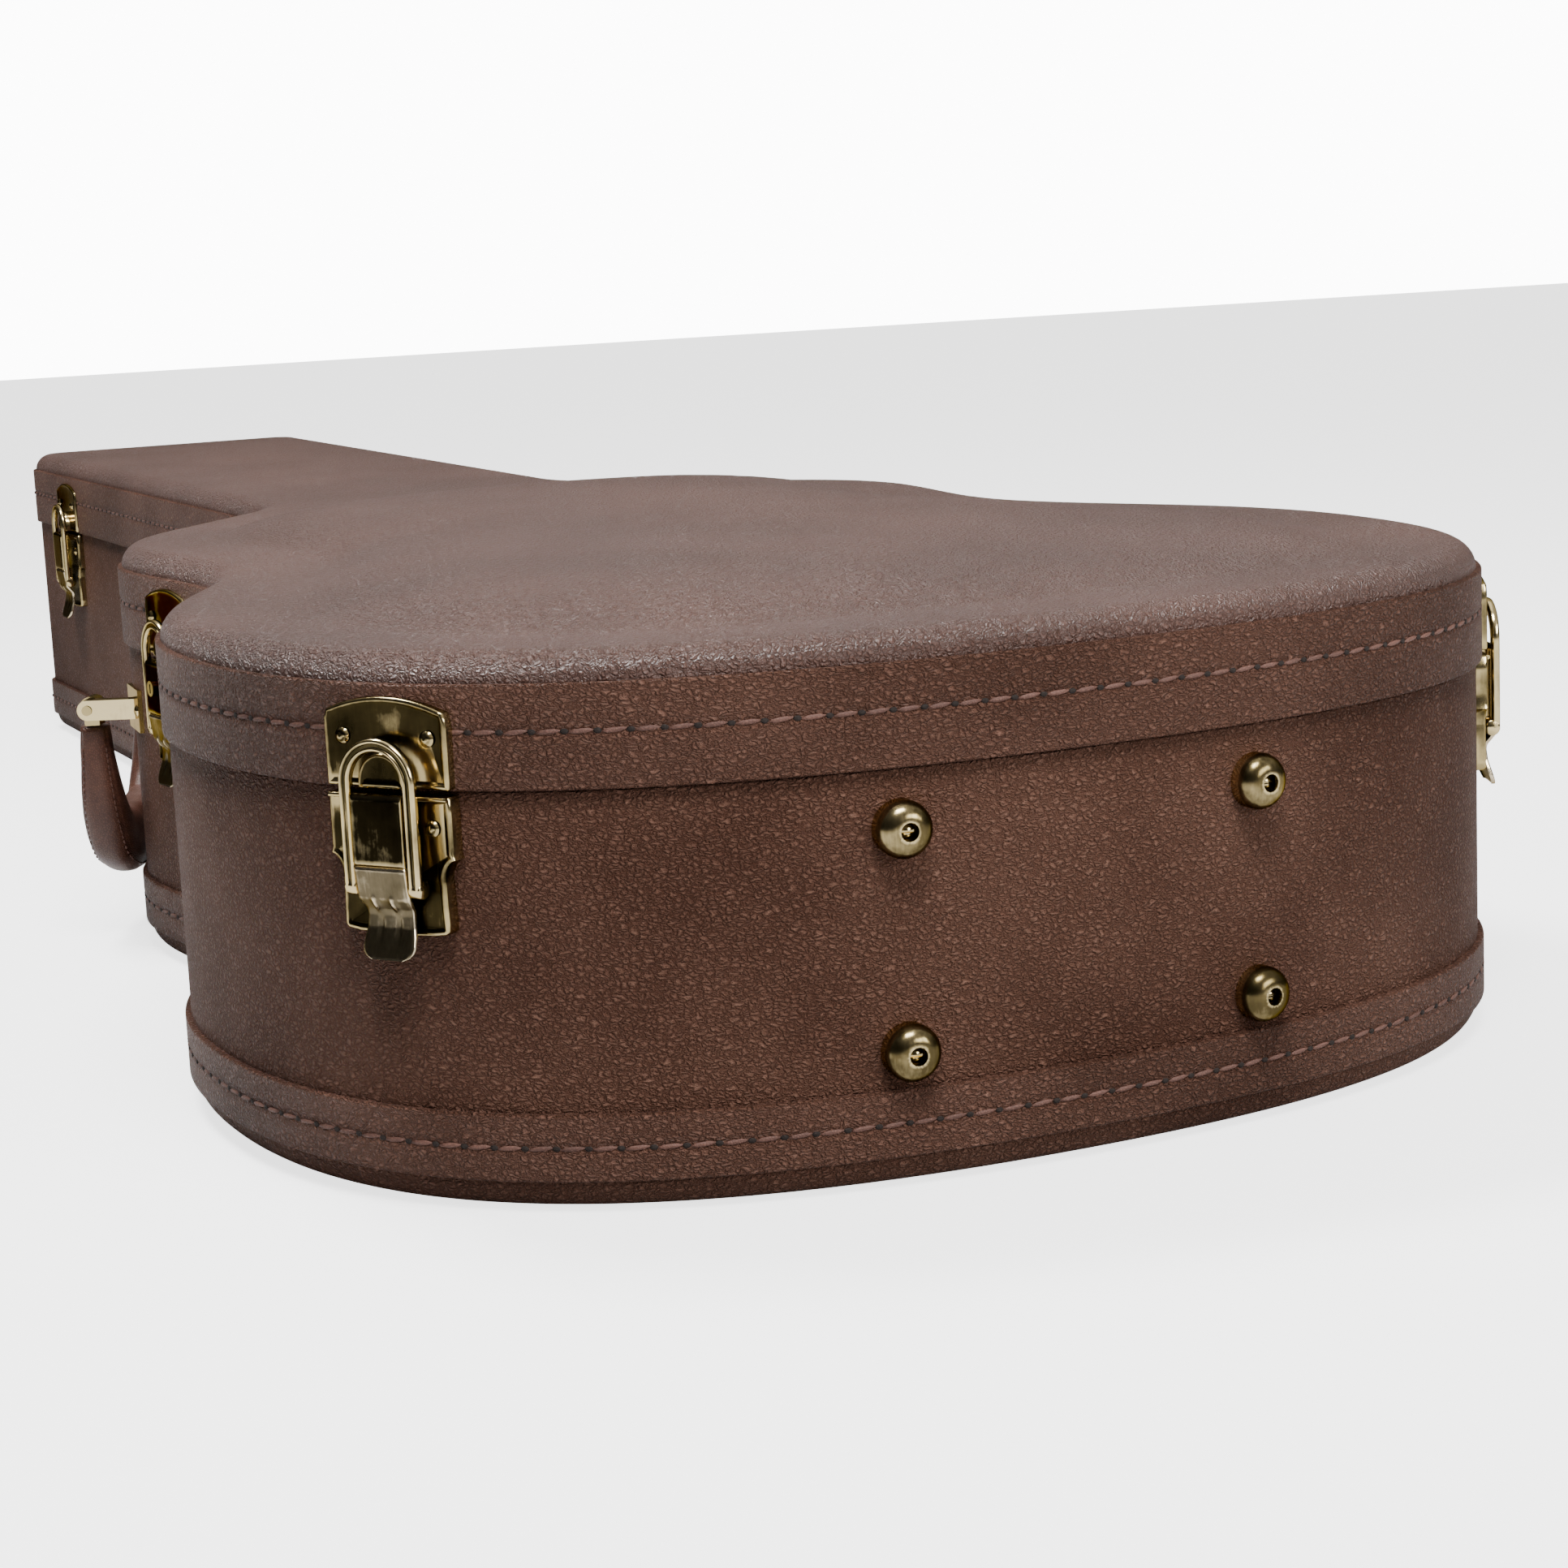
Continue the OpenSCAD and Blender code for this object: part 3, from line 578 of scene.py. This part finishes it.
def make_stitching(name, body, z):
    """A running stitch: a thread over each gap, and at its ends a near-black mark, painted shade standing in for
    the punched hole.
    """
    points, tangents = path_points(BAND_T - 0.35, z, STITCH_PITCH)
    verts, faces = scatter(capsule(STITCH_PITCH - 2.2, 0.75), points, tangents, tilt=0.09)
    new_object(name + "_thread", verts, faces, body, THREAD)
    # Dark marks where the holes are: painted shade.
    points, tangents = path_points(BAND_T - 0.42, z, STITCH_PITCH)
    verts, faces = scatter(capsule(2.4, 0.85, 0.5), points, tangents, shift=STITCH_PITCH / 2)
    new_object(name + "_hole_shades", verts, faces, body, HOLE_SHADE)


def make_lid_shell():
    inner = -WALL_T
    wall = [(inner, LID_Z), (0, LID_Z), (0, BAND_Z), (inner, BAND_Z)]
    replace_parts(swept("lid_side", wall, "lid", SIDE_VINYL),
                *("lid_wall_" + part for part in SHELL_PARTS))
    band = swept("lid_edge_band", band_profile(LID_Z, BAND_Z, LID_STITCH_Z, bead=0.7), "lid",
                 BAND_VINYL)
    sharpen(band, 70)
    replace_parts(band, "lid_band")
    make_stitching("lid_stitch", "lid", LID_STITCH_Z)


# ---- Base ----------------------------------------------------------------------------------------

def make_base_shell():
    wall = [(-WALL_T, BOTTOM_H), (0, BOTTOM_H)] + [(0, z) for z in (40, 80)] \
        + quarter((-0.8, PARTING - 0.8), 0.8, 0) + [(-WALL_T, PARTING)]
    side = swept("base_side", wall, "base", SIDE_VINYL)
    sharpen(side, 60)
    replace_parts(side, *("base_wall_" + part for part in SHELL_PARTS))
    band = swept("base_edge_band", band_profile(BOTTOM_H, BAND_TOP, LOWER_STITCH_Z, bead=0.8), "base",
                 BAND_VINYL)
    sharpen(band, 70)
    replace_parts(band, "base_band")
    make_stitching("base_stitch", "base", LOWER_STITCH_Z)
    rings = [ring(-WALL_T - 8, BOTTOM_H), ring(0, BOTTOM_H - 0.01)]
    for i in range(1, 11):
        a = math.radians(9 * i)
        rings.append(ring(-8 * (1 - math.cos(a)), BOTTOM_H * (1 - math.sin(a))))
    verts, faces = loft(rings, closed=False, cap_start=True, cap_end=True)
    panel = new_object("bottom_cover", verts, [f[::-1] for f in faces], "base", SIDE_VINYL)
    sharpen(panel, 60)
    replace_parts(panel, "bottom_panel", "bottom_neck_panel")


# ---- Padding -------------------------------------------------------------------------------------

def soften(obj, amount, scale):
    """Moves the points of a pad a little in and out, as stuffed plush."""
    normals = [v.normal.copy() for v in obj.data.vertices]
    for v, n in zip(obj.data.vertices, normals):
        v.co -= n * amount * MM * (0.5 + 0.5 * noise.noise(v.co * scale))


def make_padding():
    inner = WALL_T + PAD_T
    lift = 0.4
    r = 2.6
    wall = [(-WALL_T, FLOOR_Z + 0.1), (-WALL_T, PAD_TOP - 0.1)] + \
        [(-WALL_T - 1, PAD_TOP - 0.1)] + quarter((-inner + r + lift, PAD_TOP - r), r, 90) + \
        [(-inner + lift + 0.5 * math.cos(z / 14.0), z) for z in np.linspace(PAD_TOP - 8, FLOOR_Z + 6, 14)] + \
        [(-inner + lift, FLOOR_Z + 0.1)]
    pad = swept("wall_plush", wall, "base", PLUSH)
    soften(pad, 0.5, 22)
    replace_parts(pad, "base_wall_pad")
    rings = [ring(-WALL_T, BOTTOM_H + 0.05), ring(-WALL_T, FLOOR_Z - 1.2), ring(-WALL_T - 1, FLOOR_Z - 0.3)]
    rings += [ring(-WALL_T - d, FLOOR_Z - 0.2) for d in (4, 8, 12)]
    verts, faces = loft(rings, closed=False, cap_start=True, cap_end=True)
    floor = new_object("floor_plush", verts, faces, "base", PLUSH)
    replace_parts(floor, "floor_pad")
    out, back = -WALL_T - 1, -WALL_T - 3.5
    tongue = [(-WALL_T, PAD_TOP), (-WALL_T, PARTING - 1), (out, PARTING - 0.8)] + \
        quarter((out - 1.2, TONGUE_TOP - 1.2), 1.2, 0) + quarter((back + 1.2, TONGUE_TOP - 1.2), 1.2, 90) + \
        [(back, PAD_TOP)]
    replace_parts(swept("valance_plush", tongue, "base", PLUSH), "valance")
    lid_out, lid_in = -WALL_T, -WALL_T - 4
    ring_pad = [(lid_out, TONGUE_TOP + 1.6)] + [(lid_out, BAND_Z - 4.1), (lid_in + 0.4, BAND_Z - 4.1)] + \
        quarter((lid_in + 1.8, TONGUE_TOP + 3.3), 1.5, 180)
    pad = swept("lid_rim_plush", ring_pad, "lid", PLUSH)
    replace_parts(pad, "lid_wall_pad")
    under = LID_TOP_T + 0.1
    top = [ring(-WALL_T - 0.1, BAND_Z - 0.2), ring(ROLL_END, BORDER_Z - under)] + crown(under)
    low = [ring(-WALL_T - 0.1, BAND_Z - LINING_T), ring(-WALL_T - 2, BAND_Z - LINING_T + 0.3),
           ring(ROLL_END - 1, BORDER_Z - LID_TOP_T - LINING_T + 0.2)] + crown(LID_TOP_T + LINING_T - 0.3)
    verts, faces = loft(low[::-1] + top, closed=False, cap_start=True, cap_end=True)
    lining = new_object("lid_plush", verts, faces, "lid", PLUSH)
    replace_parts(lining, "lid_lining")


# ---- Soft pieces inside ---------------------------------------------------------------------------

def stuffed(name, node, body, voxel, swell):
    """A soft piece over a node of the model: remeshed, relaxed, then moved in and out as stuffing."""
    source = NODES[node]
    mesh = bpy.data.meshes.new(name)
    lo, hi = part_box(node)
    mesh.from_pydata([tuple(source.matrix_world @ v.co) for v in source.data.vertices], [],
                     [tuple(f.vertices) for f in source.data.polygons])
    obj = bpy.data.objects.new(name, mesh)
    bpy.context.scene.collection.objects.link(obj)
    weld = obj.modifiers.new("weld", "WELD")
    weld.merge_threshold = 0.0001
    cells = obj.modifiers.new("cells", "REMESH")
    cells.mode = "VOXEL"
    cells.voxel_size = voxel * MM
    relax = obj.modifiers.new("relax", "SMOOTH")
    relax.factor = 0.6
    relax.iterations = 7
    bpy.context.view_layer.update()
    soft = bpy.data.meshes.new_from_object(obj.evaluated_get(bpy.context.evaluated_depsgraph_get()))
    obj.modifiers.clear()
    obj.data = soft
    soft.materials.clear()
    soft.materials.append(PLUSH)
    for v, n in [(v, v.normal.copy()) for v in soft.vertices]:
        v.co += n * swell * MM * noise.noise(v.co * 38)
        v.co = Vector([min(max(c, a), b) for c, a, b in zip(v.co, lo, hi)])
    soft.polygons.foreach_set("use_smooth", [True] * len(soft.polygons))
    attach(obj, body)
    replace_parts(obj, node)


def make_soft_pieces():
    stuffed("cradle_plush", "neck_cradle", "base", 2.2, 0.5)
    stuffed("divider_plush", "compartment_frame", "base", 2.2, 0.5)
    stuffed("compartment_lid_plush", "compartment_lid", "compartment_lid", 1.5, 0.3)
    make_pull_tab()


def inset(points, d):
    """A closed flat outline, counter-clockwise, moved inwards."""
    return np.array(points) - d * outline_normals(np.array(points, float))


def make_pull_tab():
    """A leather tab with rounded ends and a raised middle."""
    lo, hi = (np.array(c) * 1000 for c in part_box("pull_tab"))
    cx, cy = (lo[:2] + hi[:2]) / 2
    hx, hy = (hi[:2] - lo[:2]) / 2
    outline = [(cx + hx * math.copysign(abs(math.cos(a)) ** 0.45, math.cos(a)),
                cy + hy * math.copysign(abs(math.sin(a)) ** 0.45, math.sin(a)))
               for a in np.linspace(0, 2 * math.pi, 64, endpoint=False)]
    steps = [(0.3, 0), (0, 0.4), (0, 1.4), (0.5, 1.9), (2.5, 1.9), (5, 2.0), (9, 2.0)]
    rings = [np.column_stack([inset(outline, d), np.full(64, lo[2] + z)]) for d, z in steps]
    verts, faces = loft(rings, closed=False, cap_start=True, cap_end=True)
    tab = new_object("pull_tab_leather", verts, faces, "compartment_lid", LEATHER)
    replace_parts(tab, "pull_tab")


# ---- Latches --------------------------------------------------------------------------------------

COARSE = half_outline(1)
COARSE = np.concatenate([COARSE, COARSE[-2:0:-1] * np.array([-1, 1])]) - np.array([0, CASE_LEN / 2])
LATCHES = {"tail_left": (-185.1, 66.8), "waist_left": (-166, 395), "head_left": (-80, 990), "tail_right": (202, 95)}
PLATE_W, KEEPER_TOP, KEEPER_ARCH_R = 42.0, 27.0, 53.0
LEVER_W, HOOP_IN, HOOP_BAR = 17.5, 9.1, 3.9
HOOP_Y = (6.7, 9.4)
HOOP_AXIS = (6.6, -27.0)


def wall_spot(x, y):
    """The matrix, in millimetres, of the place on the base wall nearest a point: Y points outwards."""
    point = np.array([x, y - CASE_LEN / 2])
    a, b = COARSE, np.roll(COARSE, -1, 0)
    along = np.clip(((point - a) * (b - a)).sum(1) / ((b - a) ** 2).sum(1), 0, 1)
    feet = a + along[:, None] * (b - a)
    i = int(np.argmin(np.linalg.norm(feet - point, axis=1)))
    edge = (b - a)[i]
    turn = math.atan2(-edge[0], edge[1]) - math.pi / 2
    return Matrix.Translation((*feet[i], PARTING)) @ Matrix.Rotation(turn, 4, "Z")


def placed(spot, verts):
    return [tuple(spot @ Vector([float(c) for c in v])) for v in verts]


def pressed(outline, steps):
    """A plate in the XZ plane from rings of (inset, y), capped at both ends."""
    outline = np.array(outline, float)
    area = np.sum(outline[:, 0] * np.roll(outline[:, 1], -1) - np.roll(outline[:, 0], -1) * outline[:, 1])
    if area < 0:
        outline = outline[::-1]
    rings = []
    for d, y in steps:
        flat = inset(outline, d)
        rings.append(np.column_stack([flat[:, 0], np.full(len(flat), y), flat[:, 1]]))
    return loft(rings[::-1], closed=False, cap_start=True, cap_end=True)


def arc(cx, cz, r, a0, a1, count):
    return [(cx + r * math.cos(math.radians(a)), cz + r * math.sin(math.radians(a)))
            for a in np.linspace(a0, a1, count)]


def keeper_outline():
    h = PLATE_W / 2
    a = math.degrees(math.asin((h - 0.8) / KEEPER_ARCH_R))
    side = [(h, z) for z in np.linspace(1.4, 20.4, 7)]
    return [(x, 1.0) for x in np.linspace(-h + 0.4, h - 0.4, 8)] + side + \
        arc(0, KEEPER_TOP - KEEPER_ARCH_R, KEEPER_ARCH_R, 90 - a, 90 + a, 25) + [(-x, z) for x, z in side[::-1]]


def plate_outline():
    h = PLATE_W / 2
    right = [(0, -41.6), (6, -41.5), (h - 8, -41.2), (h - 4, -40.6), (h - 2.9, -39.6), (h - 2.9, -37),
             (h - 3.1, -32)] + \
        arc(h + 2.6, -24.5, 6, 195, 110, 9) + [(h, -17), (h, -12), (h, -6), (h - 0.1, -1.4), (h - 0.5, -0.9)]
    return right + [(x, -0.9) for x in (12, 6, 0, -6, -12)] + [(-x, z) for x, z in right[:0:-1]]


RIM = [(0, -1.8), (0, 2.3), (0.15, 2.9), (0.5, 3.3), (0.95, 3.4), (1.3, 3.35), (1.7, 3.0), (2.4, 2.9)]


def sheet_grid(front, xs, zs, thick):
    """A thin sheet over a grid: its front at front(x, z) for x as a share of its half width."""
    outer = [[front(u, z) for u in xs] for z in zs]
    inner = [[(x, y - thick, z) for x, y, z in row] for row in outer]
    cols, rows = len(xs), len(zs)
    verts = [p for row in outer for p in row] + [p for row in inner for p in row]
    faces, back = [], cols * rows
    for k in range(rows - 1):
        for i in range(cols - 1):
            a = k * cols + i
            faces.append((a, a + cols, a + cols + 1, a + 1))
            faces.append((back + a, back + a + 1, back + a + cols + 1, back + a + cols))
    rim = [i for i in range(cols)] + [k * cols + cols - 1 for k in range(1, rows)] + \
        [(rows - 1) * cols + i for i in range(cols - 2, -1, -1)] + [k * cols for k in range(rows - 2, 0, -1)]
    for a, b in zip(rim, rim[1:] + rim[:1]):
        faces.append((a, b, back + b, back + a))
    return verts, faces


def lever_depth(z):
    """Outward distance of the lever's face at a height."""
    return float(np.interp(-z, [0.3, 1.0, 20, 20.6, 21.4, 30, 33.6, 35, 39, 44, 47.6],
                           [9.9, 10.2, 10.2, 9.6, 10.2, 9.0, 6.2, 5.95, 6.4, 8.0, 9.2]))


def lever_half(z):
    return float(np.interp(-z, [0.3, 20, 31, 33, 35.5, 38.5, 41.5, 44, 45.6, 46.8, 47.6],
                           [8.75, 8.75, 8.75, 8.1, 7.9, 8.1, 8.7, 8.9, 8.6, 7.6, 5.9]))


def lever_front(u, z):
    """A point of the lever's face: rounded long edges, two stamped bumps that run out as flutes."""
    x = u * lever_half(z)
    y = lever_depth(z) - 0.5 * max(0.0, (abs(u) - 0.86) / 0.14) ** 2
    for side in (-1, 1):
        across = math.exp(-((x - side * 3.1) / 0.95) ** 2)
        y += 1.25 * across * math.exp(-((z + 32.0) / 2.4) ** 2)
        y -= 0.75 * math.exp(-((x - side * 3.1) / 0.8) ** 2) * math.exp(-((z + 38.5) / 3.2) ** 2)
    return x, y, z


def box_mesh(lo, hi, r=0.25):
    """A box with rounded long edges."""
    xs = [lo[0], hi[0]]
    outline = arc(hi[1] - r, hi[2] - r, r, 0, 90, 4) + arc(lo[1] + r, hi[2] - r, r, 90, 180, 4) + \
        arc(lo[1] + r, lo[2] + r, r, 180, 270, 4) + arc(hi[1] - r, lo[2] + r, r, 270, 360, 4)
    rings = [[(x, y, z) for y, z in outline] for x in xs]
    verts = np.array(rings[0] + rings[1])
    n = len(outline)
    faces = [(i, (i + 1) % n, n + (i + 1) % n, n + i) for i in range(n)]
    return verts, faces + [tuple(range(n))[::-1], tuple(range(n, 2 * n))]


def merged(parts):
    verts, faces = [], []
    for v, f in parts:
        base = len(verts)
        verts += [tuple(p) for p in v]
        faces += [tuple(base + i for i in face) for face in f]
    return verts, faces


def barrel(r, x0, x1, cy, cz, sides=24):
    """A short round bar along X with softened ends."""
    rings = []
    for x, rr in ((x0, r - 0.3), (x0 + 0.3, r), (x1 - 0.3, r), (x1, r - 0.3)):
        rings.append([(x, cy + rr * math.cos(a), cz + rr * math.sin(a))
                      for a in np.linspace(0, 2 * math.pi, sides, endpoint=False)])
    return loft([np.array(q) for q in rings], closed=False, cap_start=True, cap_end=True)


def hoop_mesh():
    """A flat wire loop: a rounded bar with a shallow groove, bent round an arch, with an eye at each end."""
    mid = HOOP_IN + HOOP_BAR / 2
    path = [(-mid, z, 180) for z in np.linspace(HOOP_AXIS[1], 1, 12)]
    path += [(mid * math.cos(math.radians(a)), 3 + mid * math.sin(math.radians(a)), a) for a in range(180, -1, -6)]
    path += [(mid, z, 0) for z in np.linspace(1, HOOP_AXIS[1], 12)]
    half, y0, y1 = HOOP_BAR / 2, HOOP_Y[0], HOOP_Y[1]
    section = [(-half, y0 + 0.4), (-half, y1 - 0.9), (-half + 0.35, y1 - 0.25), (-half + 0.8, y1),
               (-half + 1.3, y1 - 0.15), (-0.5, y1 - 0.65), (0.4, y1 - 0.65), (half - 1.3, y1 - 0.15),
               (half - 0.8, y1), (half - 0.35, y1 - 0.25), (half, y1 - 0.9), (half, y0 + 0.4),
               (half - 0.4, y0), (-half + 0.4, y0)]
    rings = []
    for x, z, a in path:
        out = np.array([math.cos(math.radians(a)), math.sin(math.radians(a))])
        rings.append(np.array([(x + o * out[0], y, z + o * out[1]) for o, y in section]))
    loop = loft(rings, closed=False, cap_start=True, cap_end=True)
    eyes = [barrel(2.7, side * mid - half, side * mid + half, *HOOP_AXIS) for side in (-1, 1)]
    return merged([loop] + eyes)


def latch_piece(name, mesh, spot, body, material, angle, *nodes):
    """One metal piece of a latch; the first of a body's pieces replaces the CAD nodes named."""
    obj = new_object(name, placed(spot, mesh[0]), mesh[1], body, material)
    face_outwards(obj)
    sharpen(obj, angle)
    if nodes:
        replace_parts(obj, *nodes)


def make_latch(place, at):
    spot = wall_spot(*at)
    parts = [pressed(keeper_outline(), RIM)]
    if place != "tail_right":
        dome = [(x, 1.2) for x in np.linspace(-8, 8, 9)] + arc(0, 3.4, 8, 4, 176, 25)
        parts.append(pressed(dome, [(0, 2.6), (0, 5.6), (0.3, 6.2), (0.9, 6.5), (1.6, 6.2), (3, 6.05)]))
    latch_piece("keeper_plate_" + place, merged(parts), spot, "lid", BRASS, 50, "keeper_" + place)
    ears = [box_mesh((s * 6.1 - 0.7, 2.6, -4.1), (s * 6.1 + 0.7, 7.2, -1.0), 0.3) for s in (-1, 1)]
    ears += [barrel(1.65, s * 6.1 - 0.68, s * 6.1 + 0.68, 7.2, -2.4) for s in (-1, 1)]
    lip = box_mesh((-PLATE_W / 2 + 0.6, 2.6, -2.3), (-10.2, 4.2, -0.9), 0.6), \
        box_mesh((10.2, 2.6, -2.3), (PLATE_W / 2 - 0.6, 4.2, -0.9), 0.6)
    latch_piece("latch_plate_" + place, merged([pressed(plate_outline(), RIM)] + ears + list(lip)), spot, "base",
                BRASS, 50, "plate_" + place)
    xs = sorted({round(u, 3) for u in list(np.linspace(-1, 1, 41)) + [-0.97, -0.93, 0.97, 0.93]})
    upper = sheet_grid(lever_front, xs, list(-np.linspace(0.3, 20.6, 22)), 0.9)
    body = "lever_" + place
    # The lever's face takes the near-black brass: painted dark reflection.
    latch_piece("lever_face_" + place, upper, spot, body, SHADED_BRASS, 60, body)
    lower = sheet_grid(lever_front, xs, list(-np.linspace(20.6, 47.6, 60)), 1.1)
    # The tail's lighter brass is painted reflection.
    latch_piece("lever_tail_" + place, lower, spot, body, LIT_TAIL_BRASS, 60)
    sides = []
    for s in (-1, 1):
        x0, x1 = sorted((s * (LEVER_W / 2 - 1.2), s * (LEVER_W / 2 - 0.1)))
        sides += [box_mesh((x0, 6.0, -20), (x1, 9.6, -0.5), 0.5), box_mesh((x0, 5.0, -29.4), (x1, 8.6, -19.5), 0.6)]
    latch_piece("lever_sides_" + place, merged(sides), spot, body, BRASS, 50)
    latch_piece("hoop_wire_" + place, hoop_mesh(), spot, "hoop_" + place, HOOP_BRASS, 60, "hoop_" + place)


# ---- Handle ---------------------------------------------------------------------------------------

HANDLE = Matrix.Translation((-165.692, -39.268, 97)) @ Matrix.Rotation(math.radians(63), 4, "Z")
GRIP_STATIONS = [(-44.6, -7.6, 5.8, 4.8), (-44.4, -17, 6.6, 5.6), (-43.2, -29, 7.6, 6.8), (-40, -42, 8.8, 9.0),
                 (-31, -54.5, 9.4, 12.2), (-16, -59.3, 9.6, 14.0), (0, -59.8, 9.6, 14.2)]


def grip_path():
    """Stations along the grip: centre, half thickness and half depth."""
    left = np.array(GRIP_STATIONS)
    right = left[-2::-1] * np.array([-1, 1, 1, 1])
    all_stations = np.concatenate([left, right])
    knots = np.concatenate([[0], np.cumsum(np.linalg.norm(np.diff(all_stations[:, :2], axis=0), axis=1))])
    where = np.linspace(0, knots[-1], 73)
    rough = np.column_stack([np.interp(where, knots, all_stations[:, i]) for i in range(4)])
    for _ in range(4):
        rough[1:-1] = (rough[:-2] + 2 * rough[1:-1] + rough[2:]) / 4
    return rough


def grip_point(station, normal, a, swell=0.0):
    """A point on the grip's surface: a squared oval across the path."""
    x, z, half_y, half_n = station
    c, s = math.cos(a), math.sin(a)
    v = math.copysign(abs(c) ** 0.8, c) * (half_y + swell)
    w = math.copysign(abs(s) ** 0.85, s) * (half_n + swell)
    return x + w * normal[0], v, z + w * normal[1]


def make_handle():
    path = grip_path()
    tangent = np.gradient(path[:, :2], axis=0)
    tangent /= np.linalg.norm(tangent, axis=1)[:, None]
    normals = np.column_stack([-tangent[:, 1], tangent[:, 0]])
    seam = math.radians(-38)
    rings = []
    for station, normal in zip(path, normals):
        row = []
        for a in np.linspace(0, 2 * math.pi, 56, endpoint=False):
            off = min(abs(a - t) for t in (seam % (2 * math.pi), (math.pi - seam) % (2 * math.pi)))
            crease = -0.55 * math.exp(-(off / 0.07) ** 2)
            fold = 0.35 * noise.noise(Vector((station[0], 20 * math.cos(a), station[1])) * 0.09)
            row.append(grip_point(station, normal, a, crease + fold))
        rings.append(np.array(row))
    verts, faces = loft(rings, closed=False, cap_start=True, cap_end=True)
    grip = new_object("grip_leather", placed(HANDLE, verts), faces, "handle", LEATHER)
    face_outwards(grip)
    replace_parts(grip, "handle_grip")
    verts, faces = [], []
    bar = capsule(2.9, 0.42, 0.8)
    for k in range(4, len(path) - 4):
        for side in (0, 1):
            a = seam - 0.16 if side == 0 else math.pi - seam + 0.16
            here = np.array(grip_point(path[k], normals[k], a, 0.05))
            t = np.array([tangent[k][0], 0, tangent[k][1]])
            out = here - np.array([path[k][0], 0, path[k][1]])
            out -= t * (out @ t)
            out /= np.linalg.norm(out)
            up = np.cross(t, out)
            base = len(verts)
            verts += [tuple(here + v[0] * t + v[1] * out + v[2] * up) for v in bar[0] * np.array([0.75, 1, 1])]
            faces += [tuple(base + i for i in f) for f in bar[1]]
    new_object("grip_stitches", placed(HANDLE, verts), faces, "handle", THREAD)


# ---- CAD nodes that stay --------------------------------------------------------------------------

# The feet's screws and the lock plug take the near-black brass: painted shade.
SPECIAL = ((("handle_brackets", "bracket_screws", "hinge_base_leaves", "hinge_lid_leaves"), BRIGHT_BRASS),
           (("tail_feet",), HOOP_BRASS), (("foot_screws", "lock_plug"), SHADED_BRASS))


def finish_cad_nodes():
    """Materials and softened edges for the hardware, which stays as the CAD made it."""
    record = frame["record"]
    slots = {s["node"]: s["material_slot"] for s in record["subparts"]}
    finish = {"antique_brass": BRASS, "plush": PLUSH, "leather": LEATHER}
    special = {name: material for names, material in SPECIAL for name in names}
    for name, obj in NODES.items():
        material = special.get(name, finish.get(slots[name]))
        if obj.hide_render or material is None:
            continue
        obj.data.materials.clear()
        obj.data.materials.append(material)
        obj.data.polygons.foreach_set("use_smooth", [True] * len(obj.data.polygons))
        obj.data.set_sharp_from_angle(angle=math.radians(28))
        bevel = obj.modifiers.new("edge", "BEVEL")
        bevel.width = 0.00025
        bevel.segments = 2
        bevel.limit_method = "ANGLE"
        bevel.angle_limit = math.radians(35)
        bevel.harden_normals = True


make_camera()
make_studio()
make_lid_top()
make_lid_shell()
make_base_shell()
make_padding()
make_soft_pieces()
for latch_place, latch_point in LATCHES.items():
    make_latch(latch_place, latch_point)
make_handle()
finish_cad_nodes()
